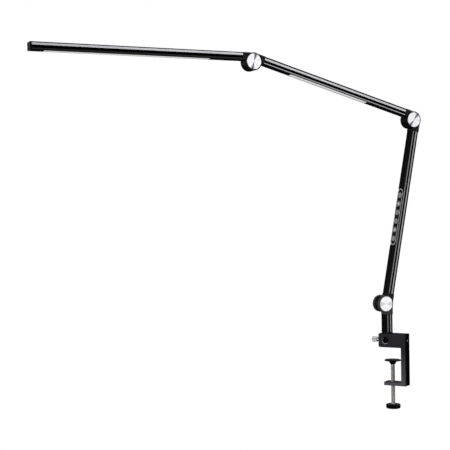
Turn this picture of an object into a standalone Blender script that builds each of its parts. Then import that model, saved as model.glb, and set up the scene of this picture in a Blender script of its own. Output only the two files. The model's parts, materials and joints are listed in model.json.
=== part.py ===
"""Clamp-on LED swing-arm lamp: a C-clamp, a swivelling stub, two arms and a lamp head on three drum hinges.

Lengths are millimetres until the mesh helpers turn them into metres. +Z is up. The origin lies on the desk
plane, under the clamp's upper block, on the swivel axis. The clamp's post is on the +X side and its front
face looks towards -Y.

Every link (stub, lower arm, middle arm, head) has its own frame at the hinge it hangs on: +X runs along the
link, away from the clamp, +Z is the hinge axis towards the silver caps, and -Y is the outer side of the
fold.
"""

from math import cos, pi, radians, sin

import bmesh
import bpy
from mathutils import Matrix

MM = 0.001
GAP = 0.3                       # clearance kept between neighbouring solids

# Facets of round pieces
ROUND_LARGE = 32
ROUND = 24
ROUND_SMALL = 16

# Pose of the linkage at rest
PLANE_YAW = 57.0                # turn of the hinge axes away from the clamp's front, about +Z
LOWER_ARM_LEAN = 11.2           # lower arm leans back from upright
MIDDLE_ARM_RISE = 15.7          # middle arm rises from level
HEAD_DROP = 0.1                 # head drops from level

# Links
HUB_HEIGHT = 88.3               # lowest hinge above the desk plane
ARM_LENGTH = 378.0              # hinge to hinge, both arms
HEAD_LENGTH = 431.5             # hinge to the end of the lamp head
BAR_WIDTH = 15.0                # arm extrusion, across the fold
BAR_DEPTH = 19.6                # arm extrusion, along the hinge axis
BAR_WALL = 1.4
GROOVE = (6.8, 10.8)            # groove in the bar's sides, from its outer face
GROOVE_DEPTH = 0.8
CHANNEL_WIDTH = 13.6            # channel on the inner side, for the LEDs, buttons and blanks
CHANNEL_DEPTH = 5.0

# Drum hinge
DRUM_RADIUS = 17.0
DRUM_HALF = 11.8                # half the drum's length along the hinge axis
TONGUE_HALF = 3.4
WASHER_THICKNESS = 0.8
CHEEK_INNER = TONGUE_HALF + WASHER_THICKNESS + 2 * GAP
COLLAR_START = 5.0              # the collar's outer corner, set back so that the hinge opens past straight
COLLAR_END = 22.0
COLLAR_HALF = 10.3
SHANK_END = 34.0
CAP_SEAT = 10.5
CAP_RADIUS = 15.6
BOLT_RADIUS = 3.0
BOLT_HEAD_SEAT = 7.0
NUT_SEAT = 6.5

# Outer side and inner side of the bar in a link's frame
BAR_OUTER = -DRUM_RADIUS
BAR_INNER = BAR_OUTER + BAR_WIDTH
BAR_CENTRE = (BAR_OUTER + BAR_INNER) / 2
CHANNEL_FLOOR = BAR_INNER - CHANNEL_DEPTH
CAVITY_OUTER = BAR_OUTER + BAR_WALL
CAVITY_INNER = CHANNEL_FLOOR - BAR_WALL
CAVITY_HALF = BAR_DEPTH / 2 - BAR_WALL
BAR_START = COLLAR_END + GAP

# Light sources and button panel, as distances along their link
HEAD_LIGHT = (89.0, 404.0)      # from the head's hinge
MIDDLE_LIGHT = (87.0, 264.0)    # from the head's hinge, back along the middle arm
PANEL_CENTRE = 178.0
PANEL_LENGTH = 116.0
PANEL_WIDTH = 17.6
PANEL_THICKNESS = 1.2
PANEL_FACE = BAR_INNER + 0.2    # the panel lies in a recess of the bar's inner face
PANEL_BACK = PANEL_FACE - PANEL_THICKNESS
BUTTON_PITCH = 17.8
BUTTON_RADIUS = 5.5
BUTTON_COUNT = 6
END_CAP_LENGTH = 3.0

# Clamp
CLAMP_HALF = 11.25              # half of its thickness along Y
BLOCK_LEFT = -15.0
CLAMP_RIGHT = 43.0
BLOCK_TOP = 28.0
BLOCK_BOTTOM = 0.5
POST_INNER = 32.7
JAW_LEFT = -4.0
JAW_TOP = -69.0
JAW_BOTTOM = -76.2
PIN_RADIUS = 6.0
SOCKET_FLOOR = 3.0
CROSS_BORE_HEIGHT = 14.5
SCREW_X = 11.0                  # clamp screw axis
SCREW_RADIUS = 4.0
PAD_TOP = -25.0
PAD_RADIUS = 16.4
PAD_RUBBER = 0.6                # thickness of the rubber on the pad
CUP_BOTTOM = -33.8
KNOB_TOP = -114.6
KNOB_BOTTOM = -123.2
KNOB_RADIUS = 14.5
THUMB_RADIUS = 2.5
THUMB_HEAD = (-32.0, -21.0)
THUMB_TIP = -9.0
FLANGE = (BLOCK_TOP + GAP, BLOCK_TOP + GAP + 2.0)   # plate between the stub and the clamp block


# ---------------------------------------------------------------- materials

def material(name, colour, roughness, metallic=0.0):
    """A Principled material in one colour."""
    made = bpy.data.materials.new(name)
    made.use_nodes = True
    shader = made.node_tree.nodes["Principled BSDF"]
    shader.inputs["Base Color"].default_value = (*colour, 1.0)
    shader.inputs["Roughness"].default_value = roughness
    shader.inputs["Metallic"].default_value = metallic
    return made


# ---------------------------------------------------------------- mesh helpers

def prism(outline, low, high):
    """A closed outline in the XY plane, given anticlockwise, extruded from Z low to Z high."""
    mesh = bmesh.new()
    floor = [mesh.verts.new((x * MM, y * MM, low * MM)) for x, y in outline]
    roof = [mesh.verts.new((x * MM, y * MM, high * MM)) for x, y in outline]
    mesh.faces.new(list(reversed(floor)))
    mesh.faces.new(roof)
    for i, corner in enumerate(floor):
        j = (i + 1) % len(floor)
        mesh.faces.new((corner, floor[j], roof[j], roof[i]))
    return mesh


def block(low, high):
    """A box between two opposite corners."""
    outline = [(low[0], low[1]), (high[0], low[1]), (high[0], high[1]), (low[0], high[1])]
    return prism(outline, low[2], high[2])


def turned(profile, segments=ROUND):
    """A profile of (radius, height) points turned about Z.

    Ends at radius 0 close the solid; the profile of a ring is a loop."""
    mesh = bmesh.new()
    rings = []
    for radius, height in profile:
        count = segments if radius > 0 else 1
        angles = [2 * pi * k / segments for k in range(count)]
        spots = [(radius * cos(a) * MM, radius * sin(a) * MM, height * MM) for a in angles]
        rings.append([mesh.verts.new(spot) for spot in spots])
    pairs = list(zip(rings, rings[1:]))
    if profile[0][0] > 0:
        pairs.append((rings[-1], rings[0]))
    for upper, lower in pairs:
        for k in range(segments):
            n = (k + 1) % segments
            corners = [upper[k % len(upper)], upper[n % len(upper)],
                       lower[n % len(lower)], lower[k % len(lower)]]
            mesh.faces.new(list(dict.fromkeys(corners)))
    bmesh.ops.recalc_face_normals(mesh, faces=mesh.faces)
    return mesh


def cylinder(radius, low, high, segments=ROUND, edge=0.0):
    """A round bar about Z, with both rims chamfered by edge."""
    profile = [(0, high), (radius, high), (radius, low), (0, low)]
    if edge:
        profile[1:3] = [(radius - edge, high), (radius, high - edge),
                        (radius, low + edge), (radius - edge, low)]
    return turned(profile, segments)


def ring(outer, inner, low, high, segments=ROUND):
    """A flat washer about Z."""
    return turned([(outer, high), (outer, low), (inner, low), (inner, high)], segments)


def moved(mesh, x=0.0, y=0.0, z=0.0, along="Z"):
    """Moves a mesh, after laying its Z axis along X or Y when asked to."""
    if along == "X":
        mesh.transform(Matrix.Rotation(pi / 2, 4, "Y"))
    if along == "Y":
        mesh.transform(Matrix.Rotation(-pi / 2, 4, "X"))
    mesh.transform(Matrix.Translation((x * MM, y * MM, z * MM)))
    return mesh


def bevelled(mesh, width, segments=1, sharper_than=30.0):
    """Bevels every edge between faces that meet at more than the given angle."""
    edges = [e for e in mesh.edges if e.calc_face_angle(0) > radians(sharper_than)]
    bmesh.ops.bevel(mesh, geom=edges, offset=width * MM, segments=segments, affect="EDGES",
                    clamp_overlap=True)
    return mesh


def to_mesh(mesh, name):
    """Turns a bmesh into mesh data, shaded smooth except at its sharp edges."""
    data = bpy.data.meshes.new(name)
    mesh.to_mesh(data)
    mesh.free()
    data.shade_smooth()
    data.set_sharp_from_angle(angle=radians(32))
    return data


def combined(base, tools, name):
    """Applies (operation, bmesh) pairs to base by exact Booleans and gives the mesh data."""
    body = bpy.data.objects.new(name, to_mesh(base, name))
    bpy.context.scene.collection.objects.link(body)
    helpers = []
    for operation, tool in tools:
        helper = bpy.data.objects.new(name + "_tool", to_mesh(tool, name + "_tool"))
        helper.hide_render = True
        helper.display_type = "WIRE"
        bpy.context.scene.collection.objects.link(helper)
        helpers.append(helper)
        modifier = body.modifiers.new(operation.lower(), "BOOLEAN")
        modifier.operation = operation
        modifier.object = helper
    bpy.context.view_layer.update()
    evaluated = body.evaluated_get(bpy.context.evaluated_depsgraph_get())
    data = bpy.data.meshes.new_from_object(evaluated)
    data.name = name
    for spare in [body, *helpers]:
        bpy.data.objects.remove(spare)
    data.shade_smooth()
    data.set_sharp_from_angle(angle=radians(32))
    return data


def node(name, shape, finish, parent=None):
    """One named solid in a link's frame. The shape is a bmesh, or mesh data shared by equal pieces."""
    data = shape if isinstance(shape, bpy.types.Mesh) else to_mesh(shape, name)
    made = bpy.data.objects.new(name, data)
    if not data.materials:
        data.materials.append(None)
    made.material_slots[0].link = "OBJECT"
    made.material_slots[0].material = finish
    made.parent = parent
    bpy.context.scene.collection.objects.link(made)
    return made


def axis_empty(name, matrix, parent=None):
    """An empty that carries a link or a moving piece, with its origin on the joint's axis."""
    made = bpy.data.objects.new(name, None)
    made.empty_display_size = 20 * MM
    made.parent = parent
    made.matrix_local = matrix
    bpy.context.scene.collection.objects.link(made)
    return made


# ---------------------------------------------------------------- drum hinge

def fork_shape():
    """The outer half of a hinge: two cheeks, a collar and a shank, with its arm on the -X side."""
    drum = cylinder(DRUM_RADIUS, -DRUM_HALF, DRUM_HALF, ROUND_LARGE, edge=0.4)
    collar = bevelled(block((-COLLAR_END, BAR_OUTER, -COLLAR_HALF),
                            (-COLLAR_START, BAR_INNER, COLLAR_HALF)), 0.6)
    shank = block((-SHANK_END, CAVITY_OUTER + GAP, -CAVITY_HALF + GAP),
                  (-COLLAR_END + 1, CAVITY_INNER - GAP, CAVITY_HALF - GAP))
    slot = cylinder(DRUM_RADIUS + GAP, -CHEEK_INNER, CHEEK_INNER, ROUND_LARGE)
    head_radius = BOLT_RADIUS + 3.0
    nut_radius = BOLT_RADIUS + 3.6
    shaft_radius = BOLT_RADIUS + GAP
    seat_radius = CAP_RADIUS + GAP
    bore = turned([(0, DRUM_HALF + 1), (seat_radius, DRUM_HALF + 1), (seat_radius, CAP_SEAT),
                   (head_radius, CAP_SEAT), (head_radius, BOLT_HEAD_SEAT), (shaft_radius, BOLT_HEAD_SEAT),
                   (shaft_radius, -NUT_SEAT), (nut_radius, -NUT_SEAT), (nut_radius, -CAP_SEAT),
                   (seat_radius, -CAP_SEAT), (seat_radius, -DRUM_HALF - 1), (0, -DRUM_HALF - 1)], ROUND_LARGE)
    tools = [("UNION", collar), ("UNION", shank), ("DIFFERENCE", slot), ("DIFFERENCE", bore)]
    return combined(drum, tools, "fork")


def tongue_shape():
    """The inner half of a hinge: a knuckle, a collar and a shank, with its arm on the +X side."""
    collar = bevelled(block((COLLAR_START, BAR_OUTER, -COLLAR_HALF),
                            (COLLAR_END, BAR_INNER, COLLAR_HALF)), 0.6)
    sweep = cylinder(DRUM_RADIUS + GAP, -DRUM_HALF - 1, DRUM_HALF + 1, ROUND_LARGE)
    knuckle = cylinder(DRUM_RADIUS, -TONGUE_HALF, TONGUE_HALF, ROUND_LARGE)
    web = block((COLLAR_START, BAR_OUTER + 0.8, -TONGUE_HALF),
                (COLLAR_END - 1, BAR_INNER - 0.8, TONGUE_HALF))
    shank = block((COLLAR_END - 1, CAVITY_OUTER + GAP, -CAVITY_HALF + GAP),
                  (SHANK_END, CAVITY_INNER - GAP, CAVITY_HALF - GAP))
    bore = cylinder(BOLT_RADIUS + GAP, -TONGUE_HALF - 1, TONGUE_HALF + 1, ROUND_SMALL)
    tools = [("DIFFERENCE", sweep), ("UNION", web), ("UNION", knuckle), ("UNION", shank),
             ("DIFFERENCE", bore)]
    return combined(collar, tools, "tongue")


def bolt_shape():
    """Hinge bolt: a round head under the front cap and a shaft through to the nut."""
    head = BOLT_RADIUS + 2.6
    seat = BOLT_HEAD_SEAT + GAP
    socket = [(0, CAP_SEAT - 1.6), (1.8, CAP_SEAT - 1.6), (1.8, CAP_SEAT - GAP)]
    outside = [(head - 0.5, CAP_SEAT - GAP), (head, CAP_SEAT - GAP - 0.5), (head, seat),
               (BOLT_RADIUS, seat), (BOLT_RADIUS, -CAP_SEAT + GAP), (0, -CAP_SEAT + GAP)]
    return turned(socket + outside, ROUND_SMALL)


def nut_shape():
    """Hexagon nut in the rear cheek, with a round bore."""
    low = -CAP_SEAT + GAP
    high = -NUT_SEAT - GAP
    corner = BOLT_RADIUS + 2.8
    outline = [(corner * cos(k * pi / 3), corner * sin(k * pi / 3)) for k in range(6)]
    bore = cylinder(BOLT_RADIUS + GAP, low - 1, high + 1, ROUND_SMALL)
    return combined(prism(outline, low, high), [("DIFFERENCE", bore)], "nut")


def cap_shape(face):
    """A thin cap with a chamfered rim, made for the front cheek's seat; face is its height."""
    base = CAP_SEAT + GAP
    profile = [(0, face), (CAP_RADIUS - 0.7, face), (CAP_RADIUS, face - 0.6), (CAP_RADIUS, base), (0, base)]
    return turned(profile, ROUND_LARGE)


def hinge_hardware(prefix, frame, finishes, shapes):
    """Bolt, nut, washers and caps of one hinge, in the frame of the link that carries its fork."""
    node(prefix + "_hinge_bolt", shapes["bolt"], finishes["steel"], frame)
    node(prefix + "_hinge_nut", shapes["nut"], finishes["steel"], frame)
    node(prefix + "_hinge_cap_front", shapes["cap_front"], finishes["silver"], frame)
    node(prefix + "_hinge_cap_rear", shapes["cap_rear"], finishes["plastic"], frame)
    inner = TONGUE_HALF + GAP
    for side, low in (("front", inner), ("rear", -inner - WASHER_THICKNESS)):
        washer = ring(DRUM_RADIUS - 0.6, BOLT_RADIUS + 0.4, low, low + WASHER_THICKNESS)
        node(f"{prefix}_hinge_washer_{side}", washer, finishes["plastic"], frame)


# ---------------------------------------------------------------- arm extrusion

def bar_outline():
    """Section of the extrusion as (Y, Z): chamfered corners, a groove on both sides, the channel."""
    half = BAR_DEPTH / 2
    start, end = (BAR_OUTER + reach for reach in GROOVE)
    floor = half - GROOVE_DEPTH
    upper = [(BAR_OUTER, half - 1.2), (BAR_OUTER + 1.2, half), (start, half), (start + 0.4, floor),
             (end - 0.4, floor), (end, half), (BAR_INNER - 0.8, half), (BAR_INNER, half - 0.8),
             (BAR_INNER, CHANNEL_WIDTH / 2), (CHANNEL_FLOOR, CHANNEL_WIDTH / 2)]
    lower = [(y, -z) for y, z in reversed(upper)]
    return upper + lower


def bar_shape(start, end, holes=()):
    """A hollow length of the extrusion along X."""
    outline = bar_outline()
    bar = prism([(z, y) for y, z in outline], start, end)
    bar.transform(Matrix(((0, 0, 1, 0), (0, 1, 0, 0), (1, 0, 0, 0), (0, 0, 0, 1))))
    bmesh.ops.recalc_face_normals(bar, faces=bar.faces)
    cavity = block((start - 1, CAVITY_OUTER, -CAVITY_HALF), (end + 1, CAVITY_INNER, CAVITY_HALF))
    return combined(bar, [("DIFFERENCE", cavity), *holes], "bar")


def channel_piece(start, end, low, high, edge=0.4):
    """A strip that lies in the channel, between two heights above the channel's floor."""
    half = CHANNEL_WIDTH / 2 - GAP
    strip = block((start, CHANNEL_FLOOR + low, -half), (end, CHANNEL_FLOOR + high, half))
    return bevelled(strip, edge)


def blank(name, start, end, finishes, frame):
    """Black blanking strip that closes a length of the channel."""
    node(name, channel_piece(start, end, GAP, CHANNEL_DEPTH - 0.3), finishes["plastic"], frame)


def light_source(prefix, start, end, finishes, frame):
    """LED board on the channel's floor and the diffuser over it."""
    board_top = GAP + 1.0
    node(prefix + "_led_board", channel_piece(start, end, GAP, board_top, 0.1), finishes["board"], frame)
    node(prefix + "_diffuser", channel_piece(start, end, board_top + GAP, CHANNEL_DEPTH + 0.4, 0.8),
         finishes["diffuser"], frame)


# ---------------------------------------------------------------- clamp

def clamp_frame_shape():
    """C-clamp casting with its swivel socket, cross bore, threaded holes and the seat of the rubber."""
    outline = [(BLOCK_LEFT, BLOCK_BOTTOM), (POST_INNER, BLOCK_BOTTOM), (POST_INNER, JAW_TOP),
               (JAW_LEFT, JAW_TOP), (JAW_LEFT, JAW_BOTTOM), (CLAMP_RIGHT, JAW_BOTTOM),
               (CLAMP_RIGHT, BLOCK_TOP), (BLOCK_LEFT, BLOCK_TOP)]
    body = prism(outline, -CLAMP_HALF, CLAMP_HALF)
    body.transform(Matrix.Rotation(pi / 2, 4, "X"))
    bevelled(body, 1.0, 2)
    socket = cylinder(PIN_RADIUS + GAP, SOCKET_FLOOR, BLOCK_TOP + 1)
    cross_bore = moved(cylinder(PIN_RADIUS + GAP, -CLAMP_HALF - 1, CLAMP_HALF + 1),
                       z=CROSS_BORE_HEIGHT, along="Y")
    thumb_hole = moved(cylinder(THUMB_RADIUS + GAP, BLOCK_LEFT - 1, 0, ROUND_SMALL),
                       z=CROSS_BORE_HEIGHT, along="X")
    set_hole = moved(cylinder(2.3, CLAMP_RIGHT - 8, CLAMP_RIGHT + 1, ROUND_SMALL),
                     z=CROSS_BORE_HEIGHT, along="X")
    screw_hole = moved(cylinder(SCREW_RADIUS + GAP, JAW_BOTTOM - 1, JAW_TOP + 1), x=SCREW_X)
    seat = block((BLOCK_LEFT + 2, -CLAMP_HALF + 2, BLOCK_BOTTOM - 1),
                 (POST_INNER - 2, CLAMP_HALF - 2, BLOCK_BOTTOM + 1.3))
    cuts = [socket, cross_bore, thumb_hole, set_hole, screw_hole, seat]
    return combined(body, [("DIFFERENCE", cut) for cut in cuts], "clamp_frame")


def desk_rubber_shape():
    """Anti-slip rubber in the underside of the upper block; its lower face is the desk plane."""
    edge = 2 + GAP
    return block((BLOCK_LEFT + edge, -CLAMP_HALF + edge, 0),
                 (POST_INNER - edge, CLAMP_HALF - edge, BLOCK_BOTTOM + 1.0))


def clamp_screw_shape():
    """M8 clamp screw: a flange in the pad's cup, a neck, and the shaft down into the knob."""
    neck = SCREW_RADIUS - 1.2
    flange = SCREW_RADIUS - 0.1
    profile = [(0, PAD_TOP - 3.0), (flange - 0.6, PAD_TOP - 3.0), (flange, PAD_TOP - 3.6),
               (flange, PAD_TOP - 6.1), (neck, PAD_TOP - 6.1), (neck, CUP_BOTTOM - GAP),
               (SCREW_RADIUS, CUP_BOTTOM - GAP - 0.8), (SCREW_RADIUS, KNOB_BOTTOM + 2.5),
               (0, KNOB_BOTTOM + 2.5)]
    return turned(profile)


def pad_plate_shape():
    """Pressure pad: a round plate with a tapered cup that is closed over the screw's flange."""
    top = PAD_TOP - PAD_RUBBER - GAP
    bore = SCREW_RADIUS + 0.2
    mouth = SCREW_RADIUS - 0.9
    profile = [(0, top), (PAD_RADIUS - 0.4, top), (PAD_RADIUS, top - 0.4), (PAD_RADIUS, PAD_TOP - 2.0),
               (PAD_RADIUS - 0.4, PAD_TOP - 2.4), (7.6, PAD_TOP - 2.7), (7.2, PAD_TOP - 5.0),
               (4.9, CUP_BOTTOM), (mouth, CUP_BOTTOM), (mouth, PAD_TOP - 6.4), (bore, PAD_TOP - 6.4),
               (bore, PAD_TOP - 2.6), (0, PAD_TOP - 2.6)]
    return turned(profile)


def hand_knob_shape():
    """Round hand knob with a blind bore for the screw's lower end."""
    bore = SCREW_RADIUS + GAP
    floor = KNOB_BOTTOM + 2.5 - GAP
    profile = [(0, floor), (bore, floor), (bore, KNOB_TOP), (KNOB_RADIUS - 2.4, KNOB_TOP),
               (KNOB_RADIUS - 0.7, KNOB_TOP - 0.7), (KNOB_RADIUS, KNOB_TOP - 2.4),
               (KNOB_RADIUS, KNOB_BOTTOM + 3.0), (KNOB_RADIUS - 0.9, KNOB_BOTTOM + 1.0),
               (KNOB_RADIUS - 3.0, KNOB_BOTTOM), (0, KNOB_BOTTOM)]
    return turned(profile)


def thumb_screw_shape():
    """Knurled thumb screw along X, with its head on the -X side."""
    outer = 5.2
    low, high = THUMB_HEAD
    profile = [(0, low), (outer - 0.7, low), (outer, low + 0.7), (outer, high - 0.7), (outer - 0.7, high),
               (3.2, high), (3.2, BLOCK_LEFT - GAP), (THUMB_RADIUS, BLOCK_LEFT - GAP),
               (THUMB_RADIUS, THUMB_TIP), (0, THUMB_TIP)]
    return moved(turned(profile), z=CROSS_BORE_HEIGHT, along="X")


def thumb_plug_shape():
    """Nylon plug between the thumb screw's tip and the swivel pin."""
    return moved(cylinder(THUMB_RADIUS - 0.1, THUMB_TIP + GAP, -PIN_RADIUS - GAP, ROUND_SMALL, edge=0.3),
                 z=CROSS_BORE_HEIGHT, along="X")


def set_screw_shape():
    """Small socket set screw in the post's outer face."""
    low = CLAMP_RIGHT - 7.5
    high = CLAMP_RIGHT - 0.3
    profile = [(0, high - 1.5), (0.9, high - 1.5), (1.1, high), (1.7, high), (2.0, high - 0.3),
               (2.0, low), (0, low)]
    return moved(turned(profile, ROUND_SMALL), z=CROSS_BORE_HEIGHT, along="X")


def build_clamp(finishes):
    """The clamp and the two screws that work in it."""
    node("clamp_frame", clamp_frame_shape(), finishes["cast"])
    node("desk_rubber", desk_rubber_shape(), finishes["rubber"])
    node("side_set_screw", set_screw_shape(), finishes["steel"])
    screw_axis = axis_empty("clamp_screw_axis", Matrix.Translation((SCREW_X * MM, 0, 0)))
    node("pad_plate", pad_plate_shape(), finishes["plastic"], screw_axis)
    pad_face = cylinder(PAD_RADIUS - 0.4, PAD_TOP - PAD_RUBBER, PAD_TOP, edge=0.2)
    node("pad_rubber", pad_face, finishes["rubber"], screw_axis)
    node("clamp_screw", clamp_screw_shape(), finishes["steel"], screw_axis)
    node("hand_knob", hand_knob_shape(), finishes["plastic"], screw_axis)
    node("thumb_screw", thumb_screw_shape(), finishes["silver"])
    node("thumb_plug", thumb_plug_shape(), finishes["nylon"])


# ---------------------------------------------------------------- links

def swivel_pin_shape():
    """Pin in the clamp's socket, with a square flange and a plug in the stub's cavity."""
    bottom, top = (height - HUB_HEIGHT for height in FLANGE)
    flange = block((bottom, BAR_OUTER + 0.2, -BAR_DEPTH / 2 + 0.2),
                   (top, BAR_INNER - 0.2, BAR_DEPTH / 2 - 0.2))
    plug = block((bottom + 1, CAVITY_OUTER + GAP, -CAVITY_HALF + GAP),
                 (top + 6.5, CAVITY_INNER - GAP, CAVITY_HALF - GAP))
    foot = SOCKET_FLOOR + 1.5 - HUB_HEIGHT
    pin = moved(cylinder(PIN_RADIUS, foot, bottom + 1, ROUND, edge=0.5), y=BAR_CENTRE, along="X")
    return combined(flange, [("UNION", plug), ("UNION", pin)], "swivel_pin")


def cable_grommet_shape(x, y):
    """Rubber grommet in the rear wall of the stub, where the supply lead would leave."""
    face = -BAR_DEPTH / 2 - GAP
    inside = -CAVITY_HALF + 0.6
    profile = [(4.6, face), (4.6, face - 1.0), (1.9, face - 1.4), (1.9, inside), (3.2, inside), (3.2, face)]
    return moved(turned(profile, ROUND_SMALL), x=x, y=y)


def build_stub(frame, finishes, shapes):
    """The short upright bar on the clamp, which carries the lowest hinge's fork."""
    start = FLANGE[1] + GAP - HUB_HEIGHT
    outlet = start + 14.0
    middle = (CAVITY_OUTER + CAVITY_INNER) / 2
    hole = moved(cylinder(3.2 + GAP, -BAR_DEPTH / 2 - 1, -CAVITY_HALF + 1, ROUND_SMALL), x=outlet, y=middle)
    node("stub_tube", bar_shape(start, -BAR_START, [("DIFFERENCE", hole)]), finishes["anodised"], frame)
    blank("stub_blank", start + 0.2, -BAR_START - 0.2, finishes, frame)
    node("swivel_pin", swivel_pin_shape(), finishes["cast"], frame)
    node("cable_grommet", cable_grommet_shape(outlet, middle), finishes["rubber"], frame)
    node("stub_fork", shapes["fork"], finishes["fitting"], frame)
    hinge_hardware("lower", frame, finishes, shapes)


def build_arm(name, length, frame, finishes, shapes, cuts=()):
    """What both arms have: the bar, the tongue at its lower end and the fork at its upper end."""
    node(name + "_tube", bar_shape(BAR_START, length - BAR_START, cuts), finishes["anodised"], frame)
    node(name + "_tongue", shapes["tongue"], finishes["fitting"], frame)
    end = axis_empty(name + "_upper_axis", Matrix.Translation((length * MM, 0, 0)), frame)
    node(name + "_fork", shapes["fork"], finishes["fitting"], end)
    return end


def panel_shape(button_places):
    """Button panel: a plate with round ends in the bar's recess, with a hole for each button."""
    corner = PANEL_WIDTH / 2 - 0.4
    steps = 7
    half_length = PANEL_LENGTH / 2 - corner
    half_width = PANEL_WIDTH / 2 - corner
    outline = []
    for turn, (x, y) in enumerate([(1, 1), (-1, 1), (-1, -1), (1, -1)]):
        for k in range(steps + 1):
            angle = (turn + k / steps) * pi / 2
            outline.append((x * half_length + corner * cos(angle), y * half_width + corner * sin(angle)))
    plate = prism(outline, 0, PANEL_THICKNESS)
    tools = []
    for place in button_places:
        hole = moved(cylinder(BUTTON_RADIUS + GAP, -1, PANEL_THICKNESS + 1, ROUND_SMALL),
                     x=place - PANEL_CENTRE)
        tools.append(("DIFFERENCE", hole))
    data = combined(plate, tools, "button_panel")
    data.transform(Matrix.Rotation(-pi / 2, 4, "X"))
    data.transform(Matrix.Translation((PANEL_CENTRE * MM, PANEL_BACK * MM, 0)))
    return data


def button_shape():
    """Round push button, standing along +Y, on an oblong flange that keeps it under the panel."""
    flange_top = PANEL_BACK - GAP
    flange_low = flange_top - 1.3
    crown = PANEL_FACE + 0.6
    disc = turned([(0, crown), (BUTTON_RADIUS - 0.5, crown), (BUTTON_RADIUS, crown - 0.4),
                   (BUTTON_RADIUS, flange_top - 0.5), (0, flange_top - 0.5)])
    across = CHANNEL_WIDTH / 2 - 0.5
    flange = block((-BUTTON_RADIUS - 1.5, flange_low, -across), (BUTTON_RADIUS + 1.5, flange_top, across))
    return combined(flange, [("UNION", moved(disc, along="Y"))], "button")


def build_lower_arm(frame, finishes, shapes):
    """Lower arm with the button panel, its board, six buttons and the blanks above and below."""
    bay = (PANEL_CENTRE - PANEL_LENGTH / 2, PANEL_CENTRE + PANEL_LENGTH / 2)
    recess = block((bay[0] - GAP, PANEL_BACK - GAP, -BAR_DEPTH), (bay[1] + GAP, BAR_INNER + 1, BAR_DEPTH))
    end = build_arm("lower_arm", ARM_LENGTH, frame, finishes, shapes, [("DIFFERENCE", recess)])
    first = PANEL_CENTRE + (BUTTON_COUNT - 1) / 2 * BUTTON_PITCH
    places = [first - k * BUTTON_PITCH for k in range(BUTTON_COUNT)]
    node("button_panel", panel_shape(places), finishes["panel"], frame)
    node("button_board", channel_piece(bay[0], bay[1], GAP, GAP + 1.0, 0.1), finishes["board"], frame)
    button = button_shape()
    for k, place in enumerate(places):
        axis = axis_empty(f"button_{k + 1}_axis", Matrix.Translation((place * MM, 0, 0)), frame)
        node(f"button_{k + 1}", button, finishes["button"], axis)
    blank("lower_arm_blank_low", BAR_START + 0.2, bay[0] - GAP, finishes, frame)
    blank("lower_arm_blank_high", bay[1] + GAP, ARM_LENGTH - BAR_START - 0.2, finishes, frame)
    hinge_hardware("middle", end, finishes, shapes)
    return end


def build_middle_arm(frame, finishes, shapes):
    """Middle arm with a short light source and the blanks on both sides of it."""
    end = build_arm("middle_arm", ARM_LENGTH, frame, finishes, shapes)
    low = ARM_LENGTH - MIDDLE_LIGHT[1]
    high = ARM_LENGTH - MIDDLE_LIGHT[0]
    light_source("middle_arm", low, high, finishes, frame)
    blank("middle_arm_blank_low", BAR_START + 0.2, low - GAP, finishes, frame)
    blank("middle_arm_blank_high", high + GAP, ARM_LENGTH - BAR_START - 0.2, finishes, frame)
    hinge_hardware("head", end, finishes, shapes)
    return end


def build_head(frame, finishes, shapes):
    """Lamp head: the long light source, its blanks and the cap on the free end."""
    end = HEAD_LENGTH - END_CAP_LENGTH
    node("head_tongue", shapes["tongue"], finishes["fitting"], frame)
    node("head_tube", bar_shape(BAR_START, end), finishes["anodised"], frame)
    light_source("head", HEAD_LIGHT[0], HEAD_LIGHT[1], finishes, frame)
    blank("head_blank_near", BAR_START + 0.2, HEAD_LIGHT[0] - GAP, finishes, frame)
    blank("head_blank_far", HEAD_LIGHT[1] + GAP, end - 0.2, finishes, frame)
    plate = bevelled(block((end + GAP, BAR_OUTER - 0.1, -BAR_DEPTH / 2 - 0.1),
                           (HEAD_LENGTH, BAR_INNER + 0.1, BAR_DEPTH / 2 + 0.1)), 0.8)
    shank = block((end - 8, CAVITY_OUTER + GAP, -CAVITY_HALF + GAP),
                  (end + 2, CAVITY_INNER - GAP, CAVITY_HALF - GAP))
    node("head_end_cap", combined(plate, [("UNION", shank)], "head_end_cap"), finishes["plastic"], frame)


# ---------------------------------------------------------------- assembly

def make_finishes():
    """The colours and finishes of the lamp."""
    return {
        "anodised": material("anodised_aluminium", (0.012, 0.011, 0.014), 0.28, 0.9),
        "fitting": material("black_fitting", (0.010, 0.010, 0.011), 0.42),
        "cast": material("black_cast_metal", (0.022, 0.020, 0.026), 0.5),
        "silver": material("spun_aluminium", (0.88, 0.88, 0.90), 0.25, 1.0),
        "steel": material("plated_steel", (0.62, 0.60, 0.58), 0.3, 1.0),
        "plastic": material("black_plastic", (0.008, 0.008, 0.009), 0.45),
        "panel": material("black_panel", (0.015, 0.015, 0.017), 0.45),
        "button": material("grey_button", (0.13, 0.13, 0.14), 0.5),
        "rubber": material("black_rubber", (0.012, 0.012, 0.012), 0.85),
        "diffuser": material("frosted_diffuser", (0.9, 0.9, 0.9), 0.35),
        "board": material("white_board", (0.75, 0.76, 0.74), 0.5),
        "nylon": material("natural_nylon", (0.75, 0.73, 0.68), 0.5),
    }


def make_shared_shapes():
    """Mesh data of the pieces that every hinge repeats."""
    rear_cap = cap_shape(DRUM_HALF + 0.2)
    rear_cap.transform(Matrix.Rotation(pi, 4, "X"))
    return {
        "fork": fork_shape(),
        "tongue": tongue_shape(),
        "bolt": to_mesh(bolt_shape(), "bolt"),
        "nut": nut_shape(),
        "cap_front": to_mesh(cap_shape(DRUM_HALF + 0.4), "cap_front"),
        "cap_rear": to_mesh(rear_cap, "cap_rear"),
    }


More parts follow.
